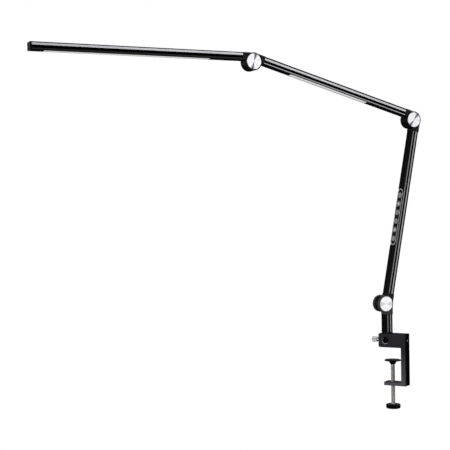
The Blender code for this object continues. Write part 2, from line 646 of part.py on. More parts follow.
def stub_matrix():
    """Frame of the stub: X up, Y into the fold, Z along the hinge axis, at the lowest hinge."""
    yaw = radians(PLANE_YAW)
    fold = (-cos(yaw), -sin(yaw), 0.0)
    hinge = (sin(yaw), -cos(yaw), 0.0)
    turn = Matrix(((0, fold[0], hinge[0]), (0, fold[1], hinge[1]), (1, 0, 0))).to_4x4()
    offset = -BAR_CENTRE
    place = (fold[0] * offset * MM, fold[1] * offset * MM, HUB_HEIGHT * MM)
    return Matrix.Translation(place) @ turn


def main():
    for spare in list(bpy.data.objects):
        bpy.data.objects.remove(spare)
    finishes = make_finishes()
    shapes = make_shared_shapes()
    build_clamp(finishes)
    stub = axis_empty("stub_frame", stub_matrix())
    build_stub(stub, finishes, shapes)
    lower = axis_empty("lower_arm_frame", Matrix.Rotation(radians(-LOWER_ARM_LEAN), 4, "Z"), stub)
    lower_end = build_lower_arm(lower, finishes, shapes)
    middle_turn = 90 - MIDDLE_ARM_RISE + LOWER_ARM_LEAN
    middle = axis_empty("middle_arm_frame", Matrix.Rotation(radians(middle_turn), 4, "Z"), lower_end)
    middle_end = build_middle_arm(middle, finishes, shapes)
    head_turn = MIDDLE_ARM_RISE + HEAD_DROP
    head = axis_empty("head_frame", Matrix.Rotation(radians(head_turn), 4, "Z"), middle_end)
    build_head(head, finishes, shapes)


main()
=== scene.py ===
"""Looks of the clamp-on LED swing-arm lamp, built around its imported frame.

Sizes are millimetres until the mesh helpers turn them into metres. Every link has its own frame at the
hinge it hangs on: +X runs along the link, +Z is the hinge axis towards the silver caps, -Y is the outer
side of the fold.
"""

import json
from math import cos, pi, radians, sin

import bmesh
import bpy
from mathutils import Matrix, Vector


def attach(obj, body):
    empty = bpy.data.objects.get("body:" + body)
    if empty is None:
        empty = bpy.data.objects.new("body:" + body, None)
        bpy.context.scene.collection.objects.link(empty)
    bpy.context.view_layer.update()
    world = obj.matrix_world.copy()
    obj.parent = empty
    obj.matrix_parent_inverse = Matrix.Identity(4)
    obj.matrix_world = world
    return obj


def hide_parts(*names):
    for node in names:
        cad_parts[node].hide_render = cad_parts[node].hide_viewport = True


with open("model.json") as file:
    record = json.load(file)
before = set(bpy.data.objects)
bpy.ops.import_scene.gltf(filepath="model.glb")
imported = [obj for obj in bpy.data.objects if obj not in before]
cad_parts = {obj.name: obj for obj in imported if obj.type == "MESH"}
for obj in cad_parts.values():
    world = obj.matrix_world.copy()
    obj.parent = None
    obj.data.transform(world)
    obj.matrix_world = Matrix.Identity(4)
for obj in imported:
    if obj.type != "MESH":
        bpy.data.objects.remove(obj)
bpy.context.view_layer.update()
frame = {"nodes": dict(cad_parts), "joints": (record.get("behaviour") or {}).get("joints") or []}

MM = 0.001
GAP = 0.3  # clearance between neighbouring pieces
OVERCUT = 1.0  # how far a cutter reaches past what it cuts
FINE = 96  # facets of the large round pieces
SMALL = 48  # facets of the small round pieces

# Camera: place in metres, angles in degrees, lens and sensor in millimetres
CAMERA_PLACE = (0.8673, -2.0688, 0.2845)
CAMERA_YAW = 31.06
CAMERA_DROP = 0.85
CAMERA_ROLL = -0.92
CAMERA_LENS = 88.0
CAMERA_SENSOR = 36.0

# Stage: place, target and size of each light in metres and its power in watts; the floor in millimetres
LIGHTS = {
    "side_panel": ((2.4, -0.6, 0.42), (0.0, -0.2, 0.35), (2.2, 1.8), 18.0),
    "front_panel": ((-1.0, -2.4, 0.6), (0.0, 0.0, 0.1), (1.6, 1.2), 8.0),
    "left_panel": ((-2.4, -0.3, 0.5), (0.0, 0.0, 0.3), (1.5, 1.5), 3.0),
    "top_panel": ((0.0, 0.2, 2.2), (0.0, 0.0, 0.2), (1.5, 1.5), 4.0),
    "back_panel": ((-0.6, 2.4, 2.2), (0.0, 0.0, 0.3), (2.2, 1.6), 22.0),
    "fill_panel": ((-0.5, -1.5, 0.0), (0.0, 0.0, -0.02), (0.8, 0.6), 8.0),
}
BACKDROP = 1.0  # strength of the white that the camera sees
AMBIENCE = 0.03  # strength of the white that lights the lamp
FLOOR_LEVEL = -900.0
FLOOR_HALF = 2500.0
FLOOR_THICK = 5.0

# Links, as in the frame
ARM_LENGTH = 378.0
HEAD_LENGTH = 431.5
END_CAP_LENGTH = 3.0
HEAD_DROP = 0.1  # degrees below level
HUB_HEIGHT = 88.3
BAR_OUTER = -17.0
BAR_INNER = -2.0
BAR_CENTRE = -9.5
BAR_HALF = 9.8
BAR_START = 22.3
END_PLAY = 0.2  # between the end of a bar and the end of its blank
CHANNEL_FLOOR = -7.0
CHANNEL_HALF = 6.8
STRIP_TOP = CHANNEL_FLOOR + 4.7  # face of the blanks, and of the diffusers at their sides
CAVITY = ((-15.6, -8.4), 8.4)  # Y range and half depth of the bar's hollow
SHANK_END = 34.0  # how far the plugs reach into the hollow
GROOVE_FLOOR = 9.0

# Bright band and narrow rib on each link's sides: range of Y and shade; the shades are painted light,
# lighter or darker from link to link for how the light falls on each
PAINTED_LIGHT_BANDS = {"stub": (-12.5, -10.0, 0.22), "lower_arm": (-12.5, -10.0, 0.3),
         "middle_arm": (-13.6, -10.0, 0.5), "head": (-14.9, -11.2, 0.52)}
PAINTED_LIGHT_RIBS = {"stub": (-6.0, -3.6, 0.15), "lower_arm": (-6.0, -3.6, 0.17),
        "middle_arm": (-5.0, -3.2, 0.3), "head": (-6.0, -3.6, 0.02)}
HEAD_LIGHT = (89.0, 404.0)  # start and end along the link
MIDDLE_LIGHT = (ARM_LENGTH - 264.0, ARM_LENGTH - 87.0)
LED_PITCH = 8.0
PANEL_CENTRE = 178.0
PANEL_SIZE = (116.0, 17.6, 1.2)
PANEL_RIM = (1.9, 0.25)  # width and rise of the panel's raised edge
PANEL_FACE = BAR_INNER + 0.2
PANEL_BACK = PANEL_FACE - PANEL_SIZE[2]
BUTTON_COUNT = 6
BUTTON_PITCH = 17.8
BUTTON_RADIUS = 5.5
BUTTON_RISE = 0.6  # height over the panel
BUTTON_DISH = 0.2  # depth of the dished top
INK = 0.04  # thickness of the printed marks

# Drum hinge
DRUM_RADIUS = 17.0
DRUM_HALF = 11.8
TONGUE_HALF = 3.4
CHEEK_INNER = 4.8
CAP_SEAT = 10.5
CAP_RADIUS = 15.6
COLLAR = (5.0, 22.2, 10.3)  # start, end and half depth
BOLT_SEAT = 7.0  # height of the seats of the bolt's head and the nut
BOLT_HEAD_RADIUS = 6.0
NUT_RADIUS = 6.3
BOLT_BORE = 3.3
WASHER_THICK = 0.8

# Clamp
CLAMP_HALF = 11.25
BLOCK = (-15.0, 43.0, 0.5, 28.0)  # left, right, bottom, top
POST_INNER = 32.7
JAW = (-4.0, -76.2, -69.0)  # left, bottom, top
CROSS_BORE_HEIGHT = 14.5
BORE_CHAMFER = 1.2
SOCKET_FLOOR = 3.0
SCREW_BORE = 4.3  # radius, as for the next two
THUMB_BORE = 2.8
SET_SCREW_BORE = 2.3
PIN_RADIUS = 6.0
PIN_BOTTOM = 4.5 - HUB_HEIGHT  # along the stub, from the hub
PIN_FLANGE = (28.3 - HUB_HEIGHT, 30.3 - HUB_HEIGHT)
STUB_START = 30.6 - HUB_HEIGHT
SCREW_X = 11.0
SCREW_RADIUS = 4.0
THREAD_PITCH = 1.25
THREAD_DEPTH = 0.35
PAD_TOP = -25.0
PAD_RADIUS = 16.4
PAD_RUBBER = 0.6
CUP_BOTTOM = -33.8
KNOB = (-123.2, -114.6, 14.5)  # bottom, top, radius
THUMB_HEAD = (-32.0, -21.0)


# ---------------- link frames

JOINTS = {joint["name"]: joint for joint in frame["joints"]}
HINGE_AXIS = Vector(JOINTS["lower_hinge"]["axis"]).normalized()


def hinge_place(name):
    """Where a joint's axis lies, in metres."""
    return Vector(JOINTS[name]["pos_m"])


def shift(x=0.0, y=0.0, z=0.0):
    """A move in millimetres, as a matrix in metres."""
    return Matrix.Translation((x * MM, y * MM, z * MM))


def link_frame(origin, along):
    """Frame at a hinge: X along the link, Z along the hinge axis."""
    inner = HINGE_AXIS.cross(along).normalized()
    forward = inner.cross(HINGE_AXIS)
    turn = Matrix((forward, inner, HINGE_AXIS)).transposed().to_4x4()
    return Matrix.Translation(origin) @ turn


LOWER_HUB = hinge_place("lower_hinge")
MIDDLE_HUB = hinge_place("middle_hinge")
HEAD_HUB = hinge_place("head_hinge")
FOLD = HINGE_AXIS.cross(Vector((0, 0, 1)))
STUB = link_frame(LOWER_HUB, Vector((0, 0, 1)))
LOWER = link_frame(LOWER_HUB, MIDDLE_HUB - LOWER_HUB)
MIDDLE = link_frame(MIDDLE_HUB, HEAD_HUB - MIDDLE_HUB)
HEAD = link_frame(HEAD_HUB, FOLD * cos(radians(HEAD_DROP)) - Vector((0, 0, 1)) * sin(radians(HEAD_DROP)))
ARM_END = shift(ARM_LENGTH)
WORLD = Matrix.Identity(4)


# ---------------- outlines and meshes

def rounded(corners, steps=4, closed=True):
    """Replaces each corner (x, y, radius) of an outline by an arc of that radius."""
    points = []
    count = len(corners)
    for i, (x, y, radius) in enumerate(corners):
        if not radius or (not closed and i in (0, count - 1)):
            points.append((x, y))
            continue
        here = Vector((x, y))
        before = (Vector(corners[i - 1][:2]) - here).normalized()
        after = (Vector(corners[(i + 1) % count][:2]) - here).normalized()
        half_angle = before.angle(after) / 2
        reach = radius / max(1e-6, abs(sin(half_angle) / cos(half_angle)))
        centre = here + (before + after).normalized() * (radius / sin(half_angle))
        first = here + before * reach - centre
        last = here + after * reach - centre
        for k in range(steps + 1):
            spoke = first.lerp(last, k / steps).normalized() * radius
            points.append(tuple(centre + spoke))
    return points


def prism(outline, low, high):
    """A closed outline in the XY plane, given anticlockwise, extruded from Z low to Z high."""
    mesh = bmesh.new()
    floor = [mesh.verts.new((x * MM, y * MM, low * MM)) for x, y in outline]
    roof = [mesh.verts.new((x * MM, y * MM, high * MM)) for x, y in outline]
    mesh.faces.new(list(reversed(floor)))
    mesh.faces.new(roof)
    for i, corner in enumerate(floor):
        j = (i + 1) % len(floor)
        mesh.faces.new((corner, floor[j], roof[j], roof[i]))
    bmesh.ops.recalc_face_normals(mesh, faces=mesh.faces)
    return mesh


def along_x(mesh):
    """Lays a prism whose outline is (Z, Y) so that it runs along X."""
    mesh.transform(Matrix(((0, 0, 1, 0), (0, 1, 0, 0), (1, 0, 0, 0), (0, 0, 0, 1))))
    bmesh.ops.recalc_face_normals(mesh, faces=mesh.faces)
    return mesh


def block(low, high, edge=0.0, steps=3):
    """A box between two opposite corners, with rounded edges."""
    outline = [(low[0], low[1]), (high[0], low[1]), (high[0], high[1]), (low[0], high[1])]
    mesh = prism(outline, low[2], high[2])
    if edge:
        bmesh.ops.bevel(mesh, geom=list(mesh.edges), offset=edge * MM, segments=steps, profile=0.5,
                        affect="EDGES")
    return mesh


def turned(profile, segments=FINE, ripple=None):
    """Turns a profile of (radius, height) points about Z.

    ripple(angle, radius, height) gives the radius at a point instead of the profile."""
    mesh = bmesh.new()
    rings = []
    for radius, height in profile:
        count = segments if radius > 0 else 1
        angles = [2 * pi * k / segments for k in range(count)]
        radii = [ripple(a, radius, height) if ripple and radius > 0 else radius for a in angles]
        rings.append([mesh.verts.new((r * cos(a) * MM, r * sin(a) * MM, height * MM))
                      for a, r in zip(angles, radii)])
    pairs = list(zip(rings, rings[1:]))
    if profile[0][0] > 0:
        pairs.append((rings[-1], rings[0]))
    for upper, lower in pairs:
        for k in range(segments):
            n = (k + 1) % segments
            corners = [upper[k % len(upper)], upper[n % len(upper)],
                       lower[n % len(lower)], lower[k % len(lower)]]
            mesh.faces.new(list(dict.fromkeys(corners)))
    bmesh.ops.recalc_face_normals(mesh, faces=mesh.faces)
    return mesh


def cylinder(radius, low, high, segments=FINE, edge=0.0):
    """A round bar about Z with rounded rims."""
    corners = [(0, high, 0), (radius, high, edge), (radius, low, edge), (0, low, 0)]
    return turned(rounded(corners, closed=False), segments)


def moved(mesh, x=0.0, y=0.0, z=0.0, along="Z"):
    """Moves a mesh, after laying its Z axis along X or Y when asked to."""
    if along == "X":
        mesh.transform(Matrix.Rotation(pi / 2, 4, "Y"))
    if along == "Y":
        mesh.transform(Matrix.Rotation(-pi / 2, 4, "X"))
    mesh.transform(shift(x, y, z))
    return mesh


def smoothed(data, sharper_than=30.0):
    """Smooth shading that keeps sharp edges."""
    data.shade_smooth()
    data.set_sharp_from_angle(angle=radians(sharper_than))
    return data


def to_mesh(mesh, name):
    """Turns a bmesh into mesh data."""
    data = bpy.data.meshes.new(name)
    mesh.to_mesh(data)
    mesh.free()
    return smoothed(data)


def put(name, data):
    """A new object in the scene."""
    made = bpy.data.objects.new(name, data)
    bpy.context.scene.collection.objects.link(made)
    return made


def combined(base, tools, name):
    """Applies (operation, bmesh) pairs to base, one exact Boolean after the other."""
    body = put(name, to_mesh(base, name))
    helpers = []
    for operation, tool in tools:
        helper = put(name + "_tool", to_mesh(tool, name + "_tool"))
        helpers.append(helper)
        modifier = body.modifiers.new(operation.lower(), "BOOLEAN")
        modifier.operation = operation
        modifier.object = helper
    bpy.context.view_layer.update()
    evaluated = body.evaluated_get(bpy.context.evaluated_depsgraph_get())
    data = bpy.data.meshes.new_from_object(evaluated)
    data.name = name
    for spare in [body, *helpers]:
        bpy.data.objects.remove(spare)
    return smoothed(data)


def merged(meshes):
    """Several bmeshes as one."""
    whole = bmesh.new()
    for part in meshes:
        spare = bpy.data.meshes.new("merge")
        part.to_mesh(spare)
        part.free()
        whole.from_mesh(spare)
        bpy.data.meshes.remove(spare)
    return whole


def piece(name, shape, finish, place, body, node=None, slot=None):
    """One visible piece that rides on a body and may stand for a CAD node, whose part it hides.

    finish is None for a mesh that has its materials already."""
    data = shape if isinstance(shape, bpy.types.Mesh) else to_mesh(shape, name)
    made = put(name, data)
    if finish is not None and not data.materials:
        data.materials.append(finish)
    made.matrix_world = place
    normals = made.modifiers.new("flat_faces", "WEIGHTED_NORMAL")
    normals.keep_sharp = True
    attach(made, body)
    if node:
        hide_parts(node)
    return made


def fine(node, shape, finish, place, body, slot):
    """The visible piece that stands for one CAD node."""
    return piece(f"fine_{node}", shape, finish, place, body, node, slot)


# ---------------- materials

class Finish:
    """A procedural material: a Principled shader and helpers that add the nodes in front of it."""

    def __init__(self, name, colour, roughness, metallic=0.0, specular=0.5):
        self.material = bpy.data.materials.new(name)
        self.material.use_nodes = True
        self.nodes = self.material.node_tree.nodes
        self.links = self.material.node_tree.links
        self.shader = self.nodes["Principled BSDF"]
        self.colour = colour
        settings = {"Base Color": (*colour, 1.0), "Roughness": roughness, "Metallic": metallic,
                    "Specular IOR Level": specular}
        for socket, value in settings.items():
            self.shader.inputs[socket].default_value = value
        self.place = self.add("ShaderNodeTexCoord").outputs["Object"]
        self.relief = None

    def add(self, kind, **inputs):
        """Adds a node. An input is given by its name, or by n and its number, as a value or an output."""
        node = self.nodes.new(kind)
        for key, value in inputs.items():
            index = int(key[1:]) if key[0] == "n" and key[1:].isdigit() else key.replace("_", " ")
            self.feed(node.inputs[index], value)
        return node

    def feed(self, socket, value):
        if isinstance(value, bpy.types.NodeSocket):
            self.links.new(value, socket)
        else:
            socket.default_value = value

    def maths(self, operation, first, second=0.0, third=0.5):
        node = self.add("ShaderNodeMath", n0=first, n1=second, n2=third)
        node.operation = operation
        return node.outputs[0]

    def axes(self):
        """The piece's own X, Y and Z coordinates."""
        split = self.add("ShaderNodeSeparateXYZ", Vector=self.place)
        return split.outputs["X"], split.outputs["Y"], split.outputs["Z"]

    def from_axis(self, x, y):
        """Distance from the piece's own Z axis."""
        squares = self.maths("ADD", self.maths("POWER", x, 2.0), self.maths("POWER", y, 2.0))
        return self.maths("SQRT", squares)

    def stretched(self, scale):
        """The piece's own coordinates, scaled per axis."""
        return self.add("ShaderNodeMapping", Vector=self.place, Scale=scale).outputs[0]

    def noise(self, scale, detail=3.0, roughness=0.55, place=None):
        return self.add("ShaderNodeTexNoise", Vector=place or self.place, Scale=scale, Detail=detail,
                        Roughness=roughness).outputs["Fac"]

    def streaks(self, value, scale, detail=3.0):
        """Noise along one number, for fine rings and sectors."""
        node = self.add("ShaderNodeTexNoise", Scale=scale, Detail=detail)
        node.noise_dimensions = "1D"
        self.feed(node.inputs["W"], value)
        return node.outputs["Fac"]

    def ramp(self, value, stops):
        """Maps a value to grey levels or colours at the given positions."""
        node = self.add("ShaderNodeValToRGB", Fac=value)
        elements = node.color_ramp.elements
        while len(elements) < len(stops):
            elements.new(0.5)
        for element, (position, shade) in zip(elements, stops):
            element.position = position
            element.color = (*shade, 1.0) if isinstance(shade, tuple) else (shade, shade, shade, 1.0)
        return node.outputs["Color"]

    def take_colour(self, colour):
        """Takes the base colour from a node."""
        self.links.new(colour, self.shader.inputs["Base Color"])

    def vary_colour(self, value, low, high):
        """Shades the base colour between low and high times its value."""
        darker = tuple(c * low for c in self.colour)
        lighter = tuple(c * high for c in self.colour)
        self.take_colour(self.ramp(value, [(0.25, darker), (0.75, lighter)]))

    def vary_roughness(self, value, low, high):
        node = self.add("ShaderNodeMapRange", Value=value, To_Min=low, To_Max=high)
        self.links.new(node.outputs[0], self.shader.inputs["Roughness"])

    def bump(self, value, depth):
        """Adds relief of the given depth in millimetres on top of the relief before it."""
        node = self.add("ShaderNodeBump", Height=value, Strength=1.0, Distance=depth * MM)
        if self.relief is not None:
            self.links.new(self.relief, node.inputs["Normal"])
        self.relief = node.outputs[0]
        self.links.new(self.relief, self.shader.inputs["Normal"])

    def glow(self, colour, strength):
        """Gives off light; its colour is a value or an output."""
        self.feed(self.shader.inputs["Emission Color"], colour)
        self.shader.inputs["Emission Strength"].default_value = strength


def anodised_finish(name, colour, roughness, metallic, specular=0.5):
    """Extruded aluminium: die lines along X, faint cloudiness and fine satin etching."""
    made = Finish(name, colour, roughness, metallic, specular)
    lines = made.noise(1.0, 4.0, 0.6, made.stretched((14.0, 2600.0, 2600.0)))
    clouds = made.noise(55.0, 2.0)
    etch = made.noise(9000.0, 2.0)
    tone = made.maths("ADD", made.maths("MULTIPLY", lines, 0.6), made.maths("MULTIPLY", clouds, 0.4))
    made.vary_colour(tone, 0.82, 1.2)
    made.vary_roughness(lines, roughness - 0.05, roughness + 0.08)
    made.bump(lines, 0.006)
    made.bump(etch, 0.002)
    return made.material


def painted_finish(name, colour, roughness, grain, depth, specular):
    """Paint: orange peel of the given grain and depth, broad tone drift and a finer surface grain."""
    made = Finish(name, colour, roughness, specular=specular)
    peel = made.noise(1000.0 / grain, 2.0, 0.4)
    grit = made.noise(3500.0 / grain, 3.0)
    drift = made.noise(38.0, 3.0)
    made.vary_colour(drift, 0.85, 1.18)
    made.vary_roughness(grit, roughness - 0.05, roughness + 0.07)
    made.bump(peel, depth)
    made.bump(grit, depth * 0.35)
    return made.material


def cast_finish(name, above, below):
    """Coarse powder coat on the clamp, paler towards the lower jaw."""
    made = Finish(name, above, 0.5, specular=0.1)
    z = made.axes()[2]
    height = made.add("ShaderNodeMapRange", Value=z, From_Min=JAW[2] * MM, From_Max=BLOCK[2] * MM)
    cloudy = made.maths("ADD", height.outputs[0], made.maths("MULTIPLY", made.noise(60.0), 0.2))
    made.take_colour(made.ramp(cloudy, [(0.1, below), (1.0, above)]))
    grit = made.noise(10000.0)
    made.vary_roughness(grit, 0.45, 0.57)
    made.bump(made.noise(2900.0, 2.0, 0.4), 0.03)
    made.bump(grit, 0.01)
    return made.material


def edge_glint_finish(name, paint, metal, height, towards):
    """Chamfer of a bore along Y at the given height, with a painted highlight: a bright metal colour
    painted on one side of it, where light would glint.

    towards is the angle of the highlighted side about the bore's axis, in degrees from +X."""
    made = Finish(name, paint, 0.45, specular=0.2)
    x, _, z = made.axes()
    angle = made.maths("ARCTAN2", made.maths("SUBTRACT", z, height * MM), x)
    facing = made.maths("COSINE", made.maths("SUBTRACT", angle, radians(towards)))
    ragged_border = made.maths("MULTIPLY_ADD", made.noise(900.0), 0.15, 0.5)
    glint_share = made.maths("ADD", facing, ragged_border)
    # Painted highlight: metal grey on the side at towards, the paint colour elsewhere
    made.take_colour(made.ramp(glint_share, [(0.62, paint), (0.85, metal)]))
    made.bump(made.noise(1500.0), 0.02)
    return made.material


def moulded_finish(name, colour, roughness, specular=0.5):
    """Moulded plastic: spark-eroded texture of small pits and a little unevenness of gloss."""
    made = Finish(name, colour, roughness, specular=specular)
    pits = made.add("ShaderNodeTexVoronoi", Vector=made.place, Scale=2600.0).outputs["Distance"]
    sheen = made.noise(120.0, 3.0)
    made.vary_colour(sheen, 0.88, 1.14)
    made.vary_roughness(sheen, roughness - 0.05, roughness + 0.06)
    made.bump(pits, 0.012)
    return made.material


def turned_metal_finish(name, colour, roughness, lines_per_mm, metallic=0.7):
    """Lathe-turned metal: fine rings about the piece's own Z axis and a faint stain."""
    made = Finish(name, colour, roughness, metallic)
    x, y, z = made.axes()
    reach = made.maths("ADD", made.from_axis(x, y), z)
    rings = made.streaks(reach, 1000.0 * lines_per_mm, 4.0)
    stain = made.noise(140.0, 4.0)
    made.vary_colour(stain, 0.86, 1.1)
    made.vary_roughness(rings, roughness - 0.06, roughness + 0.1)
    made.bump(rings, 0.006)
    return made.material


# Shades of the painted reflection on the spun caps, from the darkest line to the direction across it
SHARP_REFLECTION_SECTORS = [(0.0, (0.06, 0.055, 0.08)), (0.1, (0.13, 0.12, 0.17)), (0.2, (0.5, 0.49, 0.56)),
                 (0.36, (0.74, 0.74, 0.79)), (0.58, (0.98, 0.98, 0.99)), (0.8, (0.74, 0.74, 0.79)),
                 (1.0, (0.9, 0.9, 0.92))]
SOFT_REFLECTION_SECTORS = [(0.0, (0.66, 0.66, 0.7)), (0.3, (0.72, 0.72, 0.76)), (0.55, (0.97, 0.97, 0.98)),
                (0.85, (0.99, 0.99, 1.0)), (1.0, (0.9, 0.9, 0.92))]


def spun_cap_reflection_finish(name, line_angle, sector_stops):
    """Spun aluminium disc: fine rings, and a painted reflection of light and dark wedges about its centre,
    painted into the colour where the spun face would reflect its surroundings.

    line_angle is where the darkest pair of painted wedges lies about the piece's Z axis, in degrees from
    its X axis. sector_stops gives the painted shades from that line to the direction across it."""
    made = Finish(name, (0.92, 0.92, 0.94), 0.3, 1.0)
    x, y, _ = made.axes()
    angle = made.maths("ARCTAN2", y, x)
    turn = made.maths("SUBTRACT", angle, radians(line_angle))
    away = made.maths("ABSOLUTE", made.maths("SINE", turn))
    # Painted reflection: light and dark wedges by angle about the cap's centre
    painted_reflection = made.ramp(away, sector_stops)
    streaks = made.streaks(made.maths("SINE", made.maths("MULTIPLY", angle, 3.0)), 2.5, 2.0)
    shade = made.ramp(streaks, [(0.3, (0.93, 0.93, 0.95)), (0.7, (1.0, 1.0, 1.0))])
    mixed = made.add("ShaderNodeMix", n0=1.0, n6=painted_reflection, n7=shade)
    mixed.data_type = "RGBA"
    mixed.blend_type = "MULTIPLY"
    made.take_colour(mixed.outputs[2])
    rings = made.streaks(made.from_axis(x, y), 9000.0)
    made.vary_roughness(rings, 0.24, 0.4)
    made.bump(rings, 0.012)
    return made.material


def rubber_finish(name):
    """Black rubber with fine cross ribs and a dusty bloom."""
    made = Finish(name, (0.016, 0.016, 0.016), 0.8)
    ribs = made.add("ShaderNodeTexWave", Vector=made.place, Scale=500.0, Distortion=0.0)
    bloom = made.noise(90.0, 4.0)
    made.vary_colour(bloom, 0.75, 1.35)
    made.vary_roughness(bloom, 0.72, 0.92)
    made.bump(ribs.outputs["Fac"], 0.08)
    made.bump(made.noise(2400.0), 0.02)
    return made.material


def diffuser_finish(name):
    """Frosted light strip, lit from behind by a row of LEDs that show as soft, even brightenings."""
    made = Finish(name, (0.93, 0.93, 0.92), 0.38)
    x = made.axes()[0]
    row = made.maths("SINE", made.maths("MULTIPLY", x, 2 * pi / (LED_PITCH * MM)))
    made.glow(made.ramp(made.maths("MULTIPLY_ADD", row, 0.5, 0.5), [(0.0, 0.93), (1.0, 1.0)]), 0.6)
    made.vary_colour(made.noise(300.0), 0.97, 1.02)
    made.bump(made.noise(6000.0, 2.0), 0.01)
    return made.material


def board_finish(name):
    """White solder mask with faint copper tracks under it."""
    made = Finish(name, (0.78, 0.8, 0.77), 0.4)
    grid = made.stretched((120.0, 400.0, 400.0))
    tracks = made.add("ShaderNodeTexBrick", Vector=grid, Scale=1.0).outputs["Fac"]
    made.vary_colour(tracks, 1.0, 0.9)
    made.bump(tracks, 0.03)
    return made.material


def print_finish(name, strength):
    """Pale printed marks on the buttons, some of them lit from behind."""
    made = Finish(name, (0.85, 0.85, 0.87), 0.5)
    made.glow((0.97, 0.97, 1.0, 1.0), strength)
    made.vary_colour(made.noise(3000.0), 0.9, 1.05)
    made.bump(made.noise(5000.0), 0.004)
    return made.material


CAST_COLOUR = (0.03, 0.025, 0.037)
JAW_COLOUR = (0.15, 0.137, 0.165)
GLINT_GREY = (0.6, 0.59, 0.61)
ANODISED = anodised_finish("black_anodised_bar", (0.005, 0.0043, 0.0065), 0.26, 0.0, specular=0.1)
# Near black without shine: painted shade in the bar's grooves
GROOVE_PAINTED_SHADE = anodised_finish("groove_painted_shade", (0.002, 0.002, 0.002), 0.5, 0.0, specular=0.0)
FITTING = painted_finish("satin_black_fitting", (0.012, 0.012, 0.0125), 0.36, 0.5, 0.01, 0.15)
# Lighter copy of the fitting paint for the lowest hinge: painted light on its drum's side
LIT_LOW_FITTING = painted_finish("satin_black_fitting_painted_light", (0.075, 0.075, 0.077), 0.36, 0.5, 0.01, 0.15)
CAST = cast_finish("powder_coated_clamp", CAST_COLOUR, JAW_COLOUR)
# Darker copy of the clamp's coat for its edge faces: painted shade on the sides and top
CAST_RIM_PAINTED_SHADE = painted_finish("clamp_rim_painted_shade", (0.005, 0.005, 0.0055), 0.5, 0.35, 0.02, 0.1)
# Painted highlight on the lower left of the cross bore's chamfer
BORE_EDGE_GLINT = edge_glint_finish("bore_edge_painted_highlight", CAST_COLOUR, GLINT_GREY, CROSS_BORE_HEIGHT, -135.0)
PLASTIC = moulded_finish("black_moulding", (0.004, 0.004, 0.0045), 0.42, specular=0.1)
PANEL = moulded_finish("black_panel_moulding", (0.012, 0.012, 0.014), 0.42, specular=0.1)
PANEL_EDGE = moulded_finish("grey_panel_edge", (0.7, 0.7, 0.73), 0.42)
BUTTON = moulded_finish("grey_button_moulding", (0.46, 0.46, 0.49), 0.45)
NYLON = moulded_finish("natural_nylon", (0.72, 0.7, 0.64), 0.45)
STEEL = turned_metal_finish("zinc_plated_steel", (0.95, 0.9, 0.88), 0.34, 3.0)
THUMB_METAL = turned_metal_finish("nickel_thumb_screw", (0.72, 0.71, 0.75), 0.36, 2.0)
# Near white and barely metallic: a painted highlight that shows the set screw as a light dot
SET_SCREW_GLINT = turned_metal_finish("set_screw_painted_highlight", (0.9, 0.9, 0.9), 0.4, 2.0, 0.1)
RUBBER = rubber_finish("black_rubber")
DIFFUSER = diffuser_finish("lit_diffuser")
BOARD = board_finish("white_circuit_board")
MARK = print_finish("pale_print", 0.0)
DIM_MARK = print_finish("dim_lit_print", 0.75)
LIT_MARK = print_finish("lit_print", 1.0)


# ---------------- arm bars

def bar_corners(link):
    """One side of the bar's section as (Y, Z, radius), from the outer face to the channel's floor."""
    rim = BAR_HALF - 0.15
    step = 0.1
    flank = 0.3
    band_start, band_end = PAINTED_LIGHT_BANDS[link][:2]
    rib_start, rib_end = PAINTED_LIGHT_RIBS[link][:2]
    return [(BAR_OUTER, rim, 1.9), (band_start - step, rim, 0), (band_start, BAR_HALF, 0),
            (band_end, BAR_HALF, 0.15), (band_end + flank, GROOVE_FLOOR, 0.2),
            (rib_start - flank, GROOVE_FLOOR, 0.2), (rib_start, BAR_HALF, 0.15),
            (rib_end, BAR_HALF, 0), (rib_end + step, rim, 0), (BAR_INNER, rim, 0.9),
            (BAR_INNER, CHANNEL_HALF, 0.25), (CHANNEL_FLOOR, CHANNEL_HALF, 0)]


def bar_finishes(link):
    """Finish of a link's bar, of the grooves, and of the band and the rib on its sides, in shades of
    painted light for that link.
    """
    made = [ANODISED, GROOVE_PAINTED_SHADE]
    # Lit and shaded copies of the bar's finish: painted highlight or shade on the band and the rib of this
    # link
    for name, shade in (("band", PAINTED_LIGHT_BANDS[link][2]), ("rib", PAINTED_LIGHT_RIBS[link][2])):
        colour = (shade, shade * 0.985, shade * 1.03)
        made.append(anodised_finish(f"{link}_{name}", colour, 0.3, 1.0))
    return made


def bar_mesh(link, start, end, holes=()):
    """A hollow length of the extrusion, with its own finishes: painted shade in the grooves, painted light
    and shade on the bands and ribs.
    """
    name = f"fine_{link}_tube"
    near = 0.01
    band_start, band_end = PAINTED_LIGHT_BANDS[link][:2]
    rib_start, rib_end = PAINTED_LIGHT_RIBS[link][:2]
    side = bar_corners(link)
    corners = [(z, y, r) for y, z, r in side] + [(-z, y, r) for y, z, r in reversed(side)]
    bar = along_x(prism(rounded(corners), start, end))
    (outer, inner), half = CAVITY
    cavity = block((start - OVERCUT, outer, -half), (end + OVERCUT, inner, half))
    data = combined(bar, [("DIFFERENCE", cavity), *holes], name)
    for finish in bar_finishes(link):
        data.materials.append(finish)
    for face in data.polygons:
        y = face.center.y / MM
        depth = abs(face.center.z) / MM
        on_side = abs(face.normal.z) > 0.99 and depth > BAR_HALF - near
        face.material_index = 0
        # Painted shade in the grooves
        if band_end < y < rib_start and GROOVE_FLOOR - near < depth < BAR_HALF - near:
            face.material_index = 1
        if on_side and band_start < y < band_end:
            face.material_index = 2
        if on_side and rib_start < y < rib_end:
            face.material_index = 3
    return smoothed(data)


